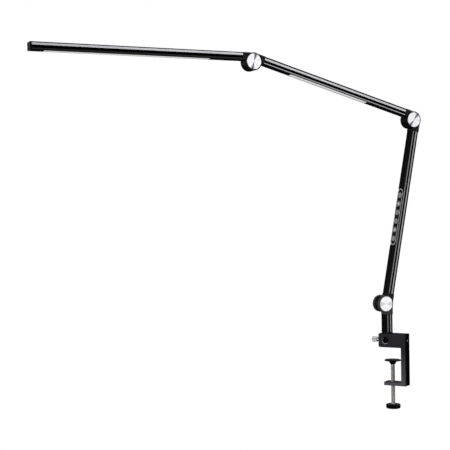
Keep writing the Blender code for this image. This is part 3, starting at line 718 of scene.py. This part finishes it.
def blank_mesh(start, end):
    """Blanking strip with a shallow centre groove along its face."""
    half = CHANNEL_HALF - GAP
    base = CHANNEL_FLOOR + GAP
    groove = STRIP_TOP - 0.3
    corners = [(-half, base, 0), (half, base, 0), (half, STRIP_TOP, 0.4), (1.2, STRIP_TOP, 0.1),
               (0.9, groove, 0.1), (-0.9, groove, 0.1), (-1.2, STRIP_TOP, 0.1), (-half, STRIP_TOP, 0.4)]
    return along_x(prism(rounded(corners), start, end))


def diffuser_mesh(start, end):
    """Diffuser with a low crown and rounded ends."""
    half = CHANNEL_HALF - GAP
    base = CHANNEL_FLOOR + 1.6
    rise = 0.7
    angles = [pi * k / 16 for k in range(17)]
    crown = [(half * cos(a), STRIP_TOP + rise * sin(a)) for a in angles]
    mesh = along_x(prism([(-half, base), (half, base), *crown], start, end))
    ends = [e for e in mesh.edges if abs(e.verts[0].co.x - e.verts[1].co.x) < 1e-7]
    bmesh.ops.bevel(mesh, geom=ends, offset=0.25 * MM, segments=2, affect="EDGES")
    return mesh


def light_source(link, start, end, place):
    """Lit diffuser over its board."""
    fine(f"{link}_diffuser", diffuser_mesh(start, end), DIFFUSER, place, link, "diffuser")


def blank(node, start, end, place, link):
    """Blanking strip in a stretch of a link's channel."""
    fine(node, blank_mesh(start, end), PLASTIC, place, link, "plastic")


# ---------------- drum hinges

def collar_mesh(side):
    """Collar between drum and bar, on the -X side (side -1) or the +X side (side 1)."""
    start, end, half = COLLAR
    low, high = sorted((side * start, side * end))
    return block((low, BAR_OUTER, -half), (high, BAR_INNER, half), 0.7, 3)


def shank_mesh(side):
    """Plug in the bar's hollow."""
    (outer, inner), half = CAVITY
    low, high = sorted((side * (COLLAR[1] - OVERCUT), side * SHANK_END))
    return block((low, outer + GAP, -half + GAP), (high, inner - GAP, half - GAP))


def seat_outline(head_radius):
    """Half of the bore through a drum: the cap's seat, the seat of the bolt's head or nut, and the bolt."""
    above = DRUM_HALF + OVERCUT
    cap = CAP_RADIUS + 0.15
    return [(0, above), (cap, above), (cap, CAP_SEAT), (head_radius, CAP_SEAT), (head_radius, BOLT_SEAT),
            (BOLT_BORE, BOLT_SEAT)]


def fork_mesh():
    """Two cheeks with rounded rims on a collar, with the seats of the caps, the bolt's head and the nut."""
    drum = cylinder(DRUM_RADIUS, -DRUM_HALF, DRUM_HALF, edge=0.45)
    slot = cylinder(DRUM_RADIUS + GAP, -CHEEK_INNER, CHEEK_INNER)
    rear = [(radius, -height) for radius, height in reversed(seat_outline(NUT_RADIUS))]
    bore = turned(seat_outline(BOLT_HEAD_RADIUS) + rear)
    tools = [("UNION", collar_mesh(-1)), ("UNION", shank_mesh(-1)), ("DIFFERENCE", slot),
             ("DIFFERENCE", bore)]
    return combined(drum, tools, "fine_fork")


def tongue_mesh():
    """Knuckle between the cheeks, with its collar."""
    inset = 0.8
    sweep = cylinder(DRUM_RADIUS + GAP, -DRUM_HALF - OVERCUT, DRUM_HALF + OVERCUT)
    web = block((COLLAR[0], BAR_OUTER + inset, -TONGUE_HALF),
                (COLLAR[1] - OVERCUT, BAR_INNER - inset, TONGUE_HALF))
    knuckle = cylinder(DRUM_RADIUS, -TONGUE_HALF, TONGUE_HALF, edge=0.3)
    bore = cylinder(BOLT_BORE, -TONGUE_HALF - OVERCUT, TONGUE_HALF + OVERCUT, SMALL)
    tools = [("DIFFERENCE", sweep), ("UNION", web), ("UNION", knuckle), ("UNION", shank_mesh(1)),
             ("DIFFERENCE", bore)]
    return combined(collar_mesh(1), tools, "fine_tongue")


def silver_cap_mesh():
    """Spun cap: chamfered bright rim, nearly flat face with a small centre dimple."""
    top = DRUM_HALF + 0.4
    base = CAP_SEAT + GAP
    edge = CAP_RADIUS - 0.1
    corners = [(0, top - 0.25, 0), (0.9, top - 0.02, 0.3), (CAP_RADIUS - 0.9, top, 0.1),
               (edge, top - 0.7, 0.15), (edge, base, 0), (0, base, 0)]
    return turned(rounded(corners, closed=False), 128)


def rear_cap_mesh():
    """Black rear cap with a raised rim and a shallow dished face."""
    top = DRUM_HALF + 0.2
    base = CAP_SEAT + GAP
    edge = CAP_RADIUS - 0.1
    corners = [(0, top - 0.6, 0), (CAP_RADIUS - 2.6, top - 0.4, 0.4), (CAP_RADIUS - 2.0, top, 0.3),
               (edge, top, 0.4), (edge, base, 0), (0, base, 0)]
    mesh = turned(rounded(corners, closed=False))
    mesh.transform(Matrix.Rotation(pi, 4, "X"))
    return mesh


def washer_mesh(low):
    """Friction washer that shows as a thin line between the cheeks and the knuckle."""
    outer = DRUM_RADIUS - 0.6
    inner = BOLT_BORE + 0.1
    high = low + WASHER_THICK
    corners = [(outer, high, 0.2), (outer, low, 0.2), (inner, low, 0), (inner, high, 0)]
    return turned(rounded(corners, 2))


FORK = fork_mesh()
TONGUE = tongue_mesh()
REAR_CAP = to_mesh(rear_cap_mesh(), "fine_rear_cap")


def hinge(prefix, fork_node, place, body, cap_finish, fork_finish=FITTING):
    """Everything of one hinge that rides with its fork; gives the fork."""
    fork = fine(fork_node, FORK.copy(), fork_finish, place, body, "fitting")
    inner = TONGUE_HALF + GAP
    small = [("cap_front", silver_cap_mesh(), cap_finish, "silver"),
             ("cap_rear", REAR_CAP, PLASTIC, "plastic"),
             ("washer_front", washer_mesh(inner), PLASTIC, "plastic"),
             ("washer_rear", washer_mesh(-inner - WASHER_THICK), PLASTIC, "plastic")]
    for kind, shape, finish, slot in small:
        piece(f"fine_{prefix}_{kind}", shape, finish, place, body, f"{prefix}_hinge_{kind}", slot)
    return fork


# ---------------- buttons

def button_mesh():
    """Round button with a dished top, standing along +Y on the oblong flange that keeps it in."""
    crown = PANEL_FACE + BUTTON_RISE
    dish = crown - BUTTON_DISH
    flange_top = PANEL_BACK - GAP
    flange_low = flange_top - 1.3
    root = flange_top - 0.5
    corners = [(0, dish, 0), (BUTTON_RADIUS - 1.2, dish, 0.6), (BUTTON_RADIUS - 0.7, crown, 0.3),
               (BUTTON_RADIUS, crown, 0.35), (BUTTON_RADIUS, root, 0), (0, root, 0)]
    disc = turned(rounded(corners, closed=False), SMALL)
    along = BUTTON_RADIUS + 1.5
    across = CHANNEL_HALF - 0.5
    flange = block((-along, flange_low, -across), (along, flange_top, across))
    return combined(flange, [("UNION", moved(disc, along="Y"))], "fine_button")


def flat_disc(radius, hollow=0.0):
    """A thin printed disc in the XY plane, or a ring if it has a hollow."""
    points = [(radius, 0.0), (radius, INK), (hollow, INK), (hollow, 0.0)]
    if not hollow:
        points = [(0, INK), (radius, INK), (radius, 0.0), (0, 0.0)]
    return turned(points, 32)


def flat_bar(width, height, x=0.0, y=0.0, turn=0.0):
    """A thin printed bar in the XY plane."""
    mesh = block((-width / 2, -height / 2, 0.0), (width / 2, height / 2, INK))
    mesh.transform(Matrix.Rotation(turn, 4, "Z"))
    return moved(mesh, x=x, y=y)


def sun_rays(distance, count=8):
    """Short strokes around a centre."""
    turns = [k * 2 * pi / count for k in range(count)]
    return [flat_bar(0.9, 0.3, distance * cos(turn), distance * sin(turn), turn) for turn in turns]


def mark_meshes():
    """Generic marks for the six buttons, each lying in its own XY plane."""
    return [
        merged([flat_disc(2.2, hollow=1.8), flat_bar(0.5, 1.9, 0.0, 1.5)]),
        flat_disc(1.3),
        merged([flat_bar(0.5, 4.0), flat_bar(1.6, 0.4, 0.0, 1.2)]),
        merged([flat_bar(3.8, 0.6), flat_bar(0.6, 3.8)]),
        merged([flat_disc(1.1, hollow=0.7), *sun_rays(2.2)]),
        flat_bar(3.8, 0.6),
    ]


def panel_mesh(places):
    """Button panel with round ends, a raised edge and a hole for each button."""
    length, width, thick = PANEL_SIZE
    rim, rise = PANEL_RIM

    def plate(inset, low, high):
        x = length / 2 - inset
        y = width / 2 - inset
        radius = y - 0.3
        corners = [(x, y, radius), (-x, y, radius), (-x, -y, radius), (x, -y, radius)]
        return prism(rounded(corners, 8), low, high)

    tools = [("DIFFERENCE", plate(rim, thick - rise, thick + OVERCUT))]
    for spot in places:
        hole = cylinder(BUTTON_RADIUS + GAP, -OVERCUT, thick + OVERCUT, SMALL)
        tools.append(("DIFFERENCE", moved(hole, x=spot - PANEL_CENTRE)))
    data = combined(plate(0.0, 0.0, thick), tools, "fine_button_panel")
    data.materials.append(PANEL)
    data.materials.append(PANEL_EDGE)
    for face in data.polygons:
        face.material_index = 1 if face.center.z > (thick - rise / 5) * MM else 0
    data.transform(Matrix.Rotation(-pi / 2, 4, "X"))
    data.transform(shift(PANEL_CENTRE, PANEL_BACK))
    return smoothed(data)


def build_buttons():
    """Panel, buttons and their marks; gives the panel and the buttons."""
    first = PANEL_CENTRE + (BUTTON_COUNT - 1) / 2 * BUTTON_PITCH
    places = [first - k * BUTTON_PITCH for k in range(BUTTON_COUNT)]
    made = [fine("button_panel", panel_mesh(places), None, LOWER, "lower_arm", "panel")]
    face = PANEL_FACE + BUTTON_RISE - BUTTON_DISH
    shape = button_mesh()
    facing = Matrix(((0, 1, 0, 0), (0, 0, 1, 0), (1, 0, 0, 0), (0, 0, 0, 1)))
    inks = [MARK, LIT_MARK, MARK, MARK, DIM_MARK, MARK]
    for k, (spot, mark, ink) in enumerate(zip(places, mark_meshes(), inks)):
        seat = LOWER @ shift(spot)
        name = f"button_{k + 1}"
        made.append(fine(name, shape, BUTTON, seat, name, "button"))
        piece(f"mark_{k + 1}", mark, ink, seat @ shift(y=face) @ facing, name)
    return made


# ---------------- clamp

def clamp_frame_mesh():
    """C-clamp casting with round edges, and chamfered mouths on its bores."""
    left, right, bottom, top = BLOCK
    jaw_left, jaw_bottom, jaw_top = JAW
    corners = [(left, bottom, 2.0), (POST_INNER, bottom, 1.2), (POST_INNER, jaw_top, 1.2),
               (jaw_left, jaw_top, 0.8), (jaw_left, jaw_bottom, 0.8), (right, jaw_bottom, 1.2),
               (right, top, 1.2), (left, top, 2.0)]
    body = prism(rounded(corners, 5), -CLAMP_HALF, CLAMP_HALF)
    rims = [e for e in body.edges if abs(e.verts[0].co.z - e.verts[1].co.z) < 1e-7]
    bmesh.ops.bevel(body, geom=rims, offset=0.9 * MM, segments=3, affect="EDGES")
    body.transform(Matrix.Rotation(pi / 2, 4, "X"))
    bore = PIN_RADIUS + GAP
    lip = bore + 0.7
    socket = turned([(0, SOCKET_FLOOR), (bore, SOCKET_FLOOR), (bore, top - 0.6), (lip, top + 0.1),
                     (lip, top + OVERCUT), (0, top + OVERCUT)])
    mouth = CLAMP_HALF - BORE_CHAMFER
    wide = bore + BORE_CHAMFER
    past = CLAMP_HALF + OVERCUT
    cross = turned([(0, -past), (wide, -past), (wide, -CLAMP_HALF), (bore, -mouth),
                    (bore, mouth), (wide, CLAMP_HALF), (wide, past), (0, past)])
    thumb = cylinder(THUMB_BORE, left - OVERCUT, 0, SMALL)
    set_screw = cylinder(SET_SCREW_BORE, right - 8, right + OVERCUT, SMALL)
    screw = cylinder(SCREW_BORE, jaw_bottom - OVERCUT, jaw_top + OVERCUT, SMALL)
    margin = 2
    recess = block((left + margin, -CLAMP_HALF + margin, bottom - OVERCUT),
                   (POST_INNER - margin, CLAMP_HALF - margin, bottom + 1.3))
    cuts = [socket, moved(cross, z=CROSS_BORE_HEIGHT, along="Y"),
            moved(thumb, z=CROSS_BORE_HEIGHT, along="X"), moved(set_screw, z=CROSS_BORE_HEIGHT, along="X"),
            moved(screw, x=SCREW_X), recess]
    data = combined(body, [("DIFFERENCE", cut) for cut in cuts], "fine_clamp_frame")
    data.materials.append(CAST)
    data.materials.append(BORE_EDGE_GLINT)
    data.materials.append(CAST_RIM_PAINTED_SHADE)
    centre = Vector((0, CROSS_BORE_HEIGHT)) * MM
    for face in data.polygons:
        reach = (Vector((face.center.x, face.center.z)) - centre).length / MM
        sloped = 0.3 < abs(face.normal.y) < 0.9
        # Edge faces take the painted shade; the front and back keep the coat
        face.material_index = 2 if abs(face.normal.y) < 0.5 else 0
        # The cross bore's chamfer takes the painted highlight
        if sloped and bore < reach < wide:
            face.material_index = 1
    return data


def threaded(radius, depth, pitch, low, high):
    """Heights and a ripple function for a shaft with a shallow V thread between low and high."""
    rings_per_turn = 8
    count = round((high - low) / pitch * rings_per_turn)
    heights = [high - (high - low) * k / count for k in range(count + 1)]

    def ripple(angle, base, height):
        if abs(base - radius) > 1e-6:
            return base
        phase = ((height - low) / pitch - angle / (2 * pi)) % 1.0
        fade = min(1.0, (height - low) / pitch, (high - height) / pitch)
        return base - depth * fade * abs(2 * phase - 1)

    return heights, ripple


def clamp_screw_mesh():
    """M8 screw with its thread, a thin neck and the chamfered flange in the pad's cup."""
    low = KNOB[0] + 2.5
    cup = CUP_BOTTOM - GAP
    flange = 3.9
    neck = 2.8
    heights, ripple = threaded(SCREW_RADIUS, THREAD_DEPTH, THREAD_PITCH, low, cup - 0.8)
    top = [(0, PAD_TOP - 3.0), (flange - 0.6, PAD_TOP - 3.0), (flange, PAD_TOP - 3.6),
           (flange, PAD_TOP - 6.1), (neck, PAD_TOP - 6.1), (neck, cup)]
    shaft = [(SCREW_RADIUS, z) for z in heights]
    return turned(top + shaft + [(0, low)], 32, ripple)


def pad_plate_mesh():
    """Pressure pad with rounded edges and the cup that is closed over the screw's flange."""
    top = PAD_TOP - PAD_RUBBER - GAP
    neck = 3.1
    hollow = 4.2
    corners = [(0, top, 0), (PAD_RADIUS, top, 0.4), (PAD_RADIUS, PAD_TOP - 2.3, 0.5),
               (7.6, PAD_TOP - 2.7, 0.4), (7.2, PAD_TOP - 5.0, 0.8), (4.9, CUP_BOTTOM, 0.3),
               (neck, CUP_BOTTOM, 0), (neck, PAD_TOP - 6.4, 0), (hollow, PAD_TOP - 6.4, 0),
               (hollow, PAD_TOP - 2.6, 0), (0, PAD_TOP - 2.6, 0)]
    return turned(rounded(corners, closed=False))


def hand_knob_mesh():
    """Hand knob: crowned edges, a hub around the screw and shallow finger flutes."""
    low, high, radius = KNOB
    count = 20
    depth = 0.3
    fade = 1.2
    corners = [(0, low + 2.2, 0), (4.3, low + 2.2, 0), (4.3, high, 0.2), (6.2, high, 0.4),
               (6.8, high - 0.6, 0.4), (10.2, high - 0.6, 0.4), (10.9, high, 0.4), (radius, high, 1.7),
               (radius, low, 2.6), (8.0, low, 0.5), (7.4, low + 0.7, 0.4), (0, low + 0.7, 0)]

    def flutes(angle, base, _height):
        share = max(0.0, (base - radius + fade) / fade)
        return base - depth * share * max(0.0, cos(count * angle))

    return turned(rounded(corners, 5, closed=False), 160, flutes)


def thumb_screw_mesh():
    """Knurled thumb screw; the straight knurls run round its head."""
    low, high = THUMB_HEAD
    tip = -9.0
    shoulder = BLOCK[0] - GAP
    radius = 5.2
    groove = 4.8
    corners = [(0, low + 0.5, 0), (2.6, low + 0.5, 0.3), (3.1, low, 0.3), (radius, low, 0.7),
               (radius, low + 4.0, 0.1), (groove, low + 4.3, 0.1), (groove, low + 5.5, 0.1),
               (radius, low + 5.8, 0.1), (radius, high, 0.7), (3.2, high, 0.2), (3.2, shoulder, 0.1),
               (2.5, shoulder, 0), (2.5, tip, 0.3), (0, tip, 0)]

    def knurls(angle, base, _height):
        return base - 0.3 * abs(sin(16 * angle)) if base > 4.9 else base

    return turned(rounded(corners, 3, closed=False), 192, knurls)


def set_screw_mesh():
    """Socket set screw with a hexagon recess."""
    low, high = BLOCK[1] - 7.5, BLOCK[1] - 0.1
    body = cylinder(SET_SCREW_BORE - 0.2, low, high, SMALL, 0.9)
    top = high + OVERCUT
    recess = turned([(0, top), (1.0, top), (1.0, high - 2.0), (0, high - 2.3)], 6)
    return combined(body, [("DIFFERENCE", recess)], "fine_side_set_screw")


def swivel_pin_mesh():
    """Steel pin in the socket, the flange on the block and the plug in the stub."""
    bottom, top = PIN_FLANGE
    (outer, inner), half = CAVITY
    inset = 0.2
    flange = block((bottom, BAR_OUTER + inset, -BAR_HALF + inset),
                   (top, BAR_INNER - inset, BAR_HALF - inset), 0.4)
    plug = block((top - OVERCUT, outer + GAP, -half + GAP), (top + 6.5, inner - GAP, half - GAP))
    pin = cylinder(PIN_RADIUS, PIN_BOTTOM, bottom + OVERCUT, SMALL, 0.5)
    tools = [("UNION", plug), ("UNION", moved(pin, y=BAR_CENTRE, along="X"))]
    return combined(flange, tools, "fine_swivel_pin")


def grommet_mesh():
    """Ribbed grommet on the stub's rear face, along the stub frame's -Z."""
    face = -BAR_HALF - GAP
    inside = -CAVITY[1] + 0.6
    corners = [(4.6, face, 0.2), (4.6, face - 0.9, 0.4), (3.2, face - 1.2, 0.3), (1.9, face - 1.4, 0.3),
               (1.9, inside, 0), (3.2, inside, 0), (3.2, face, 0)]
    return turned(rounded(corners, 3), SMALL)


def build_clamp():
    """Clamp, its two screws and the pad; gives the casting and the bare screws."""
    axis = shift(SCREW_X)
    thumb = shift(z=CROSS_BORE_HEIGHT) @ Matrix.Rotation(pi / 2, 4, "Y")
    casting = fine("clamp_frame", clamp_frame_mesh(), None, WORLD, "clamp", "cast")
    fine("side_set_screw", set_screw_mesh(), SET_SCREW_GLINT, thumb, "clamp", "steel")
    screw = fine("clamp_screw", clamp_screw_mesh(), STEEL, axis, "clamp_screw", "steel")
    fine("hand_knob", hand_knob_mesh(), PLASTIC, axis, "clamp_screw", "plastic")
    fine("pad_plate", pad_plate_mesh(), PLASTIC, axis, "pressure_pad", "plastic")
    pad = cylinder(PAD_RADIUS - 0.4, PAD_TOP - PAD_RUBBER, PAD_TOP, edge=0.2)
    fine("pad_rubber", pad, RUBBER, axis, "pressure_pad", "rubber")
    knurled = fine("thumb_screw", thumb_screw_mesh(), THUMB_METAL, thumb, "thumb_screw", "silver")
    return casting, screw, knurled


def build_stub():
    """Stub bar, swivel pin, grommet and the lowest hinge; gives the hinge's fork."""
    outlet = STUB_START + 14.0
    middle = (CAVITY[0][0] + CAVITY[0][1]) / 2
    hole = cylinder(3.5, -BAR_HALF - OVERCUT, -CAVITY[1] + OVERCUT, SMALL)
    cuts = [("DIFFERENCE", moved(hole, x=outlet, y=middle))]
    tube = bar_mesh("stub", STUB_START, -BAR_START, cuts)
    fine("stub_tube", tube, None, STUB, "stub", "anodised")
    blank("stub_blank", STUB_START + END_PLAY, -BAR_START - END_PLAY, STUB, "stub")
    fine("swivel_pin", swivel_pin_mesh(), CAST, STUB, "stub", "cast")
    fine("cable_grommet", grommet_mesh(), RUBBER, STUB @ shift(outlet, middle), "stub", "rubber")
    cap = spun_cap_reflection_finish("spun_cap_lower_painted_reflection", 90.0, SOFT_REFLECTION_SECTORS)
    return hinge("lower", "stub_fork", STUB, "stub", cap, LIT_LOW_FITTING)


def build_bar(link, place, end, cuts=()):
    """Bar of an arm or the head, with the tongue at its start."""
    fine(f"{link}_tube", bar_mesh(link, BAR_START, end, cuts), None, place, link, "anodised")
    fine(f"{link}_tongue", TONGUE, FITTING, place, link, "fitting")


def build_lower_arm():
    """Lower arm with its buttons and the middle hinge; gives the panel and the buttons."""
    bay_start = PANEL_CENTRE - PANEL_SIZE[0] / 2 - GAP
    bay_end = PANEL_CENTRE + PANEL_SIZE[0] / 2 + GAP
    recess = block((bay_start, PANEL_BACK - GAP, -2 * BAR_HALF),
                   (bay_end, BAR_INNER + OVERCUT, 2 * BAR_HALF))
    build_bar("lower_arm", LOWER, ARM_LENGTH - BAR_START, [("DIFFERENCE", recess)])
    blank("lower_arm_blank_low", BAR_START + END_PLAY, bay_start, LOWER, "lower_arm")
    blank("lower_arm_blank_high", bay_end, ARM_LENGTH - BAR_START - END_PLAY, LOWER, "lower_arm")
    cap = spun_cap_reflection_finish("spun_cap_middle_painted_reflection", -28.0, SHARP_REFLECTION_SECTORS)
    hinge("middle", "lower_arm_fork", LOWER @ ARM_END, "lower_arm", cap)
    return build_buttons()


def build_middle_arm():
    """Middle arm with its light source and the head's hinge."""
    low, high = MIDDLE_LIGHT
    build_bar("middle_arm", MIDDLE, ARM_LENGTH - BAR_START)
    light_source("middle_arm", low, high, MIDDLE)
    blank("middle_arm_blank_low", BAR_START + END_PLAY, low - GAP, MIDDLE, "middle_arm")
    blank("middle_arm_blank_high", high + GAP, ARM_LENGTH - BAR_START - END_PLAY, MIDDLE, "middle_arm")
    cap = spun_cap_reflection_finish("spun_cap_head_painted_reflection", 90.0, SHARP_REFLECTION_SECTORS)
    hinge("head", "middle_arm_fork", MIDDLE @ ARM_END, "middle_arm", cap)


def build_head():
    """Lamp head: bar, light source, blanks and end cap."""
    end = HEAD_LENGTH - END_CAP_LENGTH
    low, high = HEAD_LIGHT
    build_bar("head", HEAD, end)
    light_source("head", low, high, HEAD)
    blank("head_blank_near", BAR_START + END_PLAY, low - GAP, HEAD, "head")
    blank("head_blank_far", high + GAP, end - END_PLAY, HEAD, "head")
    (outer, inner), half = CAVITY
    margin = 0.05
    cap = block((end + GAP, BAR_OUTER - margin, -BAR_HALF - margin),
                (HEAD_LENGTH, BAR_INNER + margin, BAR_HALF + margin), 0.8, 4)
    shank = block((end - 8, outer + GAP, -half + GAP), (end + 2, inner - GAP, half - GAP))
    shape = combined(cap, [("UNION", shank)], "fine_head_end_cap")
    fine("head_end_cap", shape, PLASTIC, HEAD, "head", "plastic")


def finish_kept_nodes():
    """Better materials for the CAD nodes whose shape stays as it is."""
    kept = {"desk_rubber": RUBBER, "thumb_plug": NYLON, "head_led_board": BOARD,
            "middle_arm_led_board": BOARD, "button_board": BOARD}
    for prefix in ("lower", "middle", "head"):
        kept[f"{prefix}_hinge_bolt"] = STEEL
        kept[f"{prefix}_hinge_nut"] = STEEL
    for name, finish in kept.items():
        for slot in frame["nodes"][name].material_slots:
            slot.material = finish


# ---------------- stage

def build_floor():
    """Plain pale floor, low enough for the arms to hang from the table edge at their limits."""
    mesh = block((-FLOOR_HALF, -FLOOR_HALF, FLOOR_LEVEL - FLOOR_THICK),
                 (FLOOR_HALF, FLOOR_HALF, FLOOR_LEVEL))
    floor = put("floor", to_mesh(mesh, "floor"))
    made = Finish("pale_floor", (0.9, 0.9, 0.9), 0.9)
    made.vary_colour(made.noise(3.0), 0.995, 1.005)
    made.glow((1, 1, 1, 1), 1.0)
    floor.data.materials.append(made.material)
    floor.visible_diffuse = False
    floor.visible_glossy = False


def build_light(name, place, target, size, power):
    """A soft rectangular light that faces its target."""
    data = bpy.data.lights.new(name, "AREA")
    data.shape = "RECTANGLE"
    data.size, data.size_y = size
    data.energy = power
    lamp = put(name, data)
    lamp.location = place
    lamp.rotation_euler = (Vector(target) - Vector(place)).to_track_quat("-Z", "Y").to_euler()
    return lamp


def link_light(lamp, state, *objects):
    """Makes a light reach only the objects (state INCLUDE), or everything but the objects (EXCLUDE)."""
    receivers = bpy.data.collections.new(f"{lamp.name}_receivers")
    for thing in objects:
        receivers.objects.link(thing)
    for entry in receivers.collection_objects:
        entry.light_linking.link_state = state
    lamp.light_linking.receiver_collection = receivers


def build_world():
    """White backdrop, with less light from it on the object than the camera sees."""
    world = bpy.data.worlds.new("studio")
    bpy.context.scene.world = world
    world.use_nodes = True
    nodes, links = world.node_tree.nodes, world.node_tree.links
    path = nodes.new("ShaderNodeLightPath")
    strength = nodes.new("ShaderNodeMapRange")
    strength.inputs["To Min"].default_value = AMBIENCE
    strength.inputs["To Max"].default_value = BACKDROP
    links.new(path.outputs["Is Camera Ray"], strength.inputs["Value"])
    links.new(strength.outputs[0], nodes["Background"].inputs["Strength"])
    nodes["Background"].inputs["Color"].default_value = (1, 1, 1, 1)


def build_camera():
    """Camera on the outer side, a little above the lamp's middle."""
    data = bpy.data.cameras.new("camera")
    data.lens = CAMERA_LENS
    data.sensor_width = CAMERA_SENSOR
    camera = put("camera", data)
    heading = Matrix.Rotation(radians(CAMERA_YAW), 4, "Z")
    pitch = Matrix.Rotation(radians(90 - CAMERA_DROP), 4, "X")
    roll = Matrix.Rotation(radians(CAMERA_ROLL), 4, "Z")
    camera.matrix_world = Matrix.Translation(CAMERA_PLACE) @ heading @ pitch @ roll
    bpy.context.scene.camera = camera


build_camera()
build_world()
lights = {name: build_light(name, *settings) for name, settings in LIGHTS.items()}
build_floor()
casting, *screws = build_clamp()
stub_fork = build_stub()
controls = build_lower_arm()
link_light(lights["side_panel"], "EXCLUDE", casting)
link_light(lights["top_panel"], "EXCLUDE", casting)
link_light(lights["fill_panel"], "INCLUDE", casting, *screws, stub_fork, *controls)
build_middle_arm()
build_head()
finish_kept_nodes()
bpy.context.scene.view_settings.view_transform = "Standard"
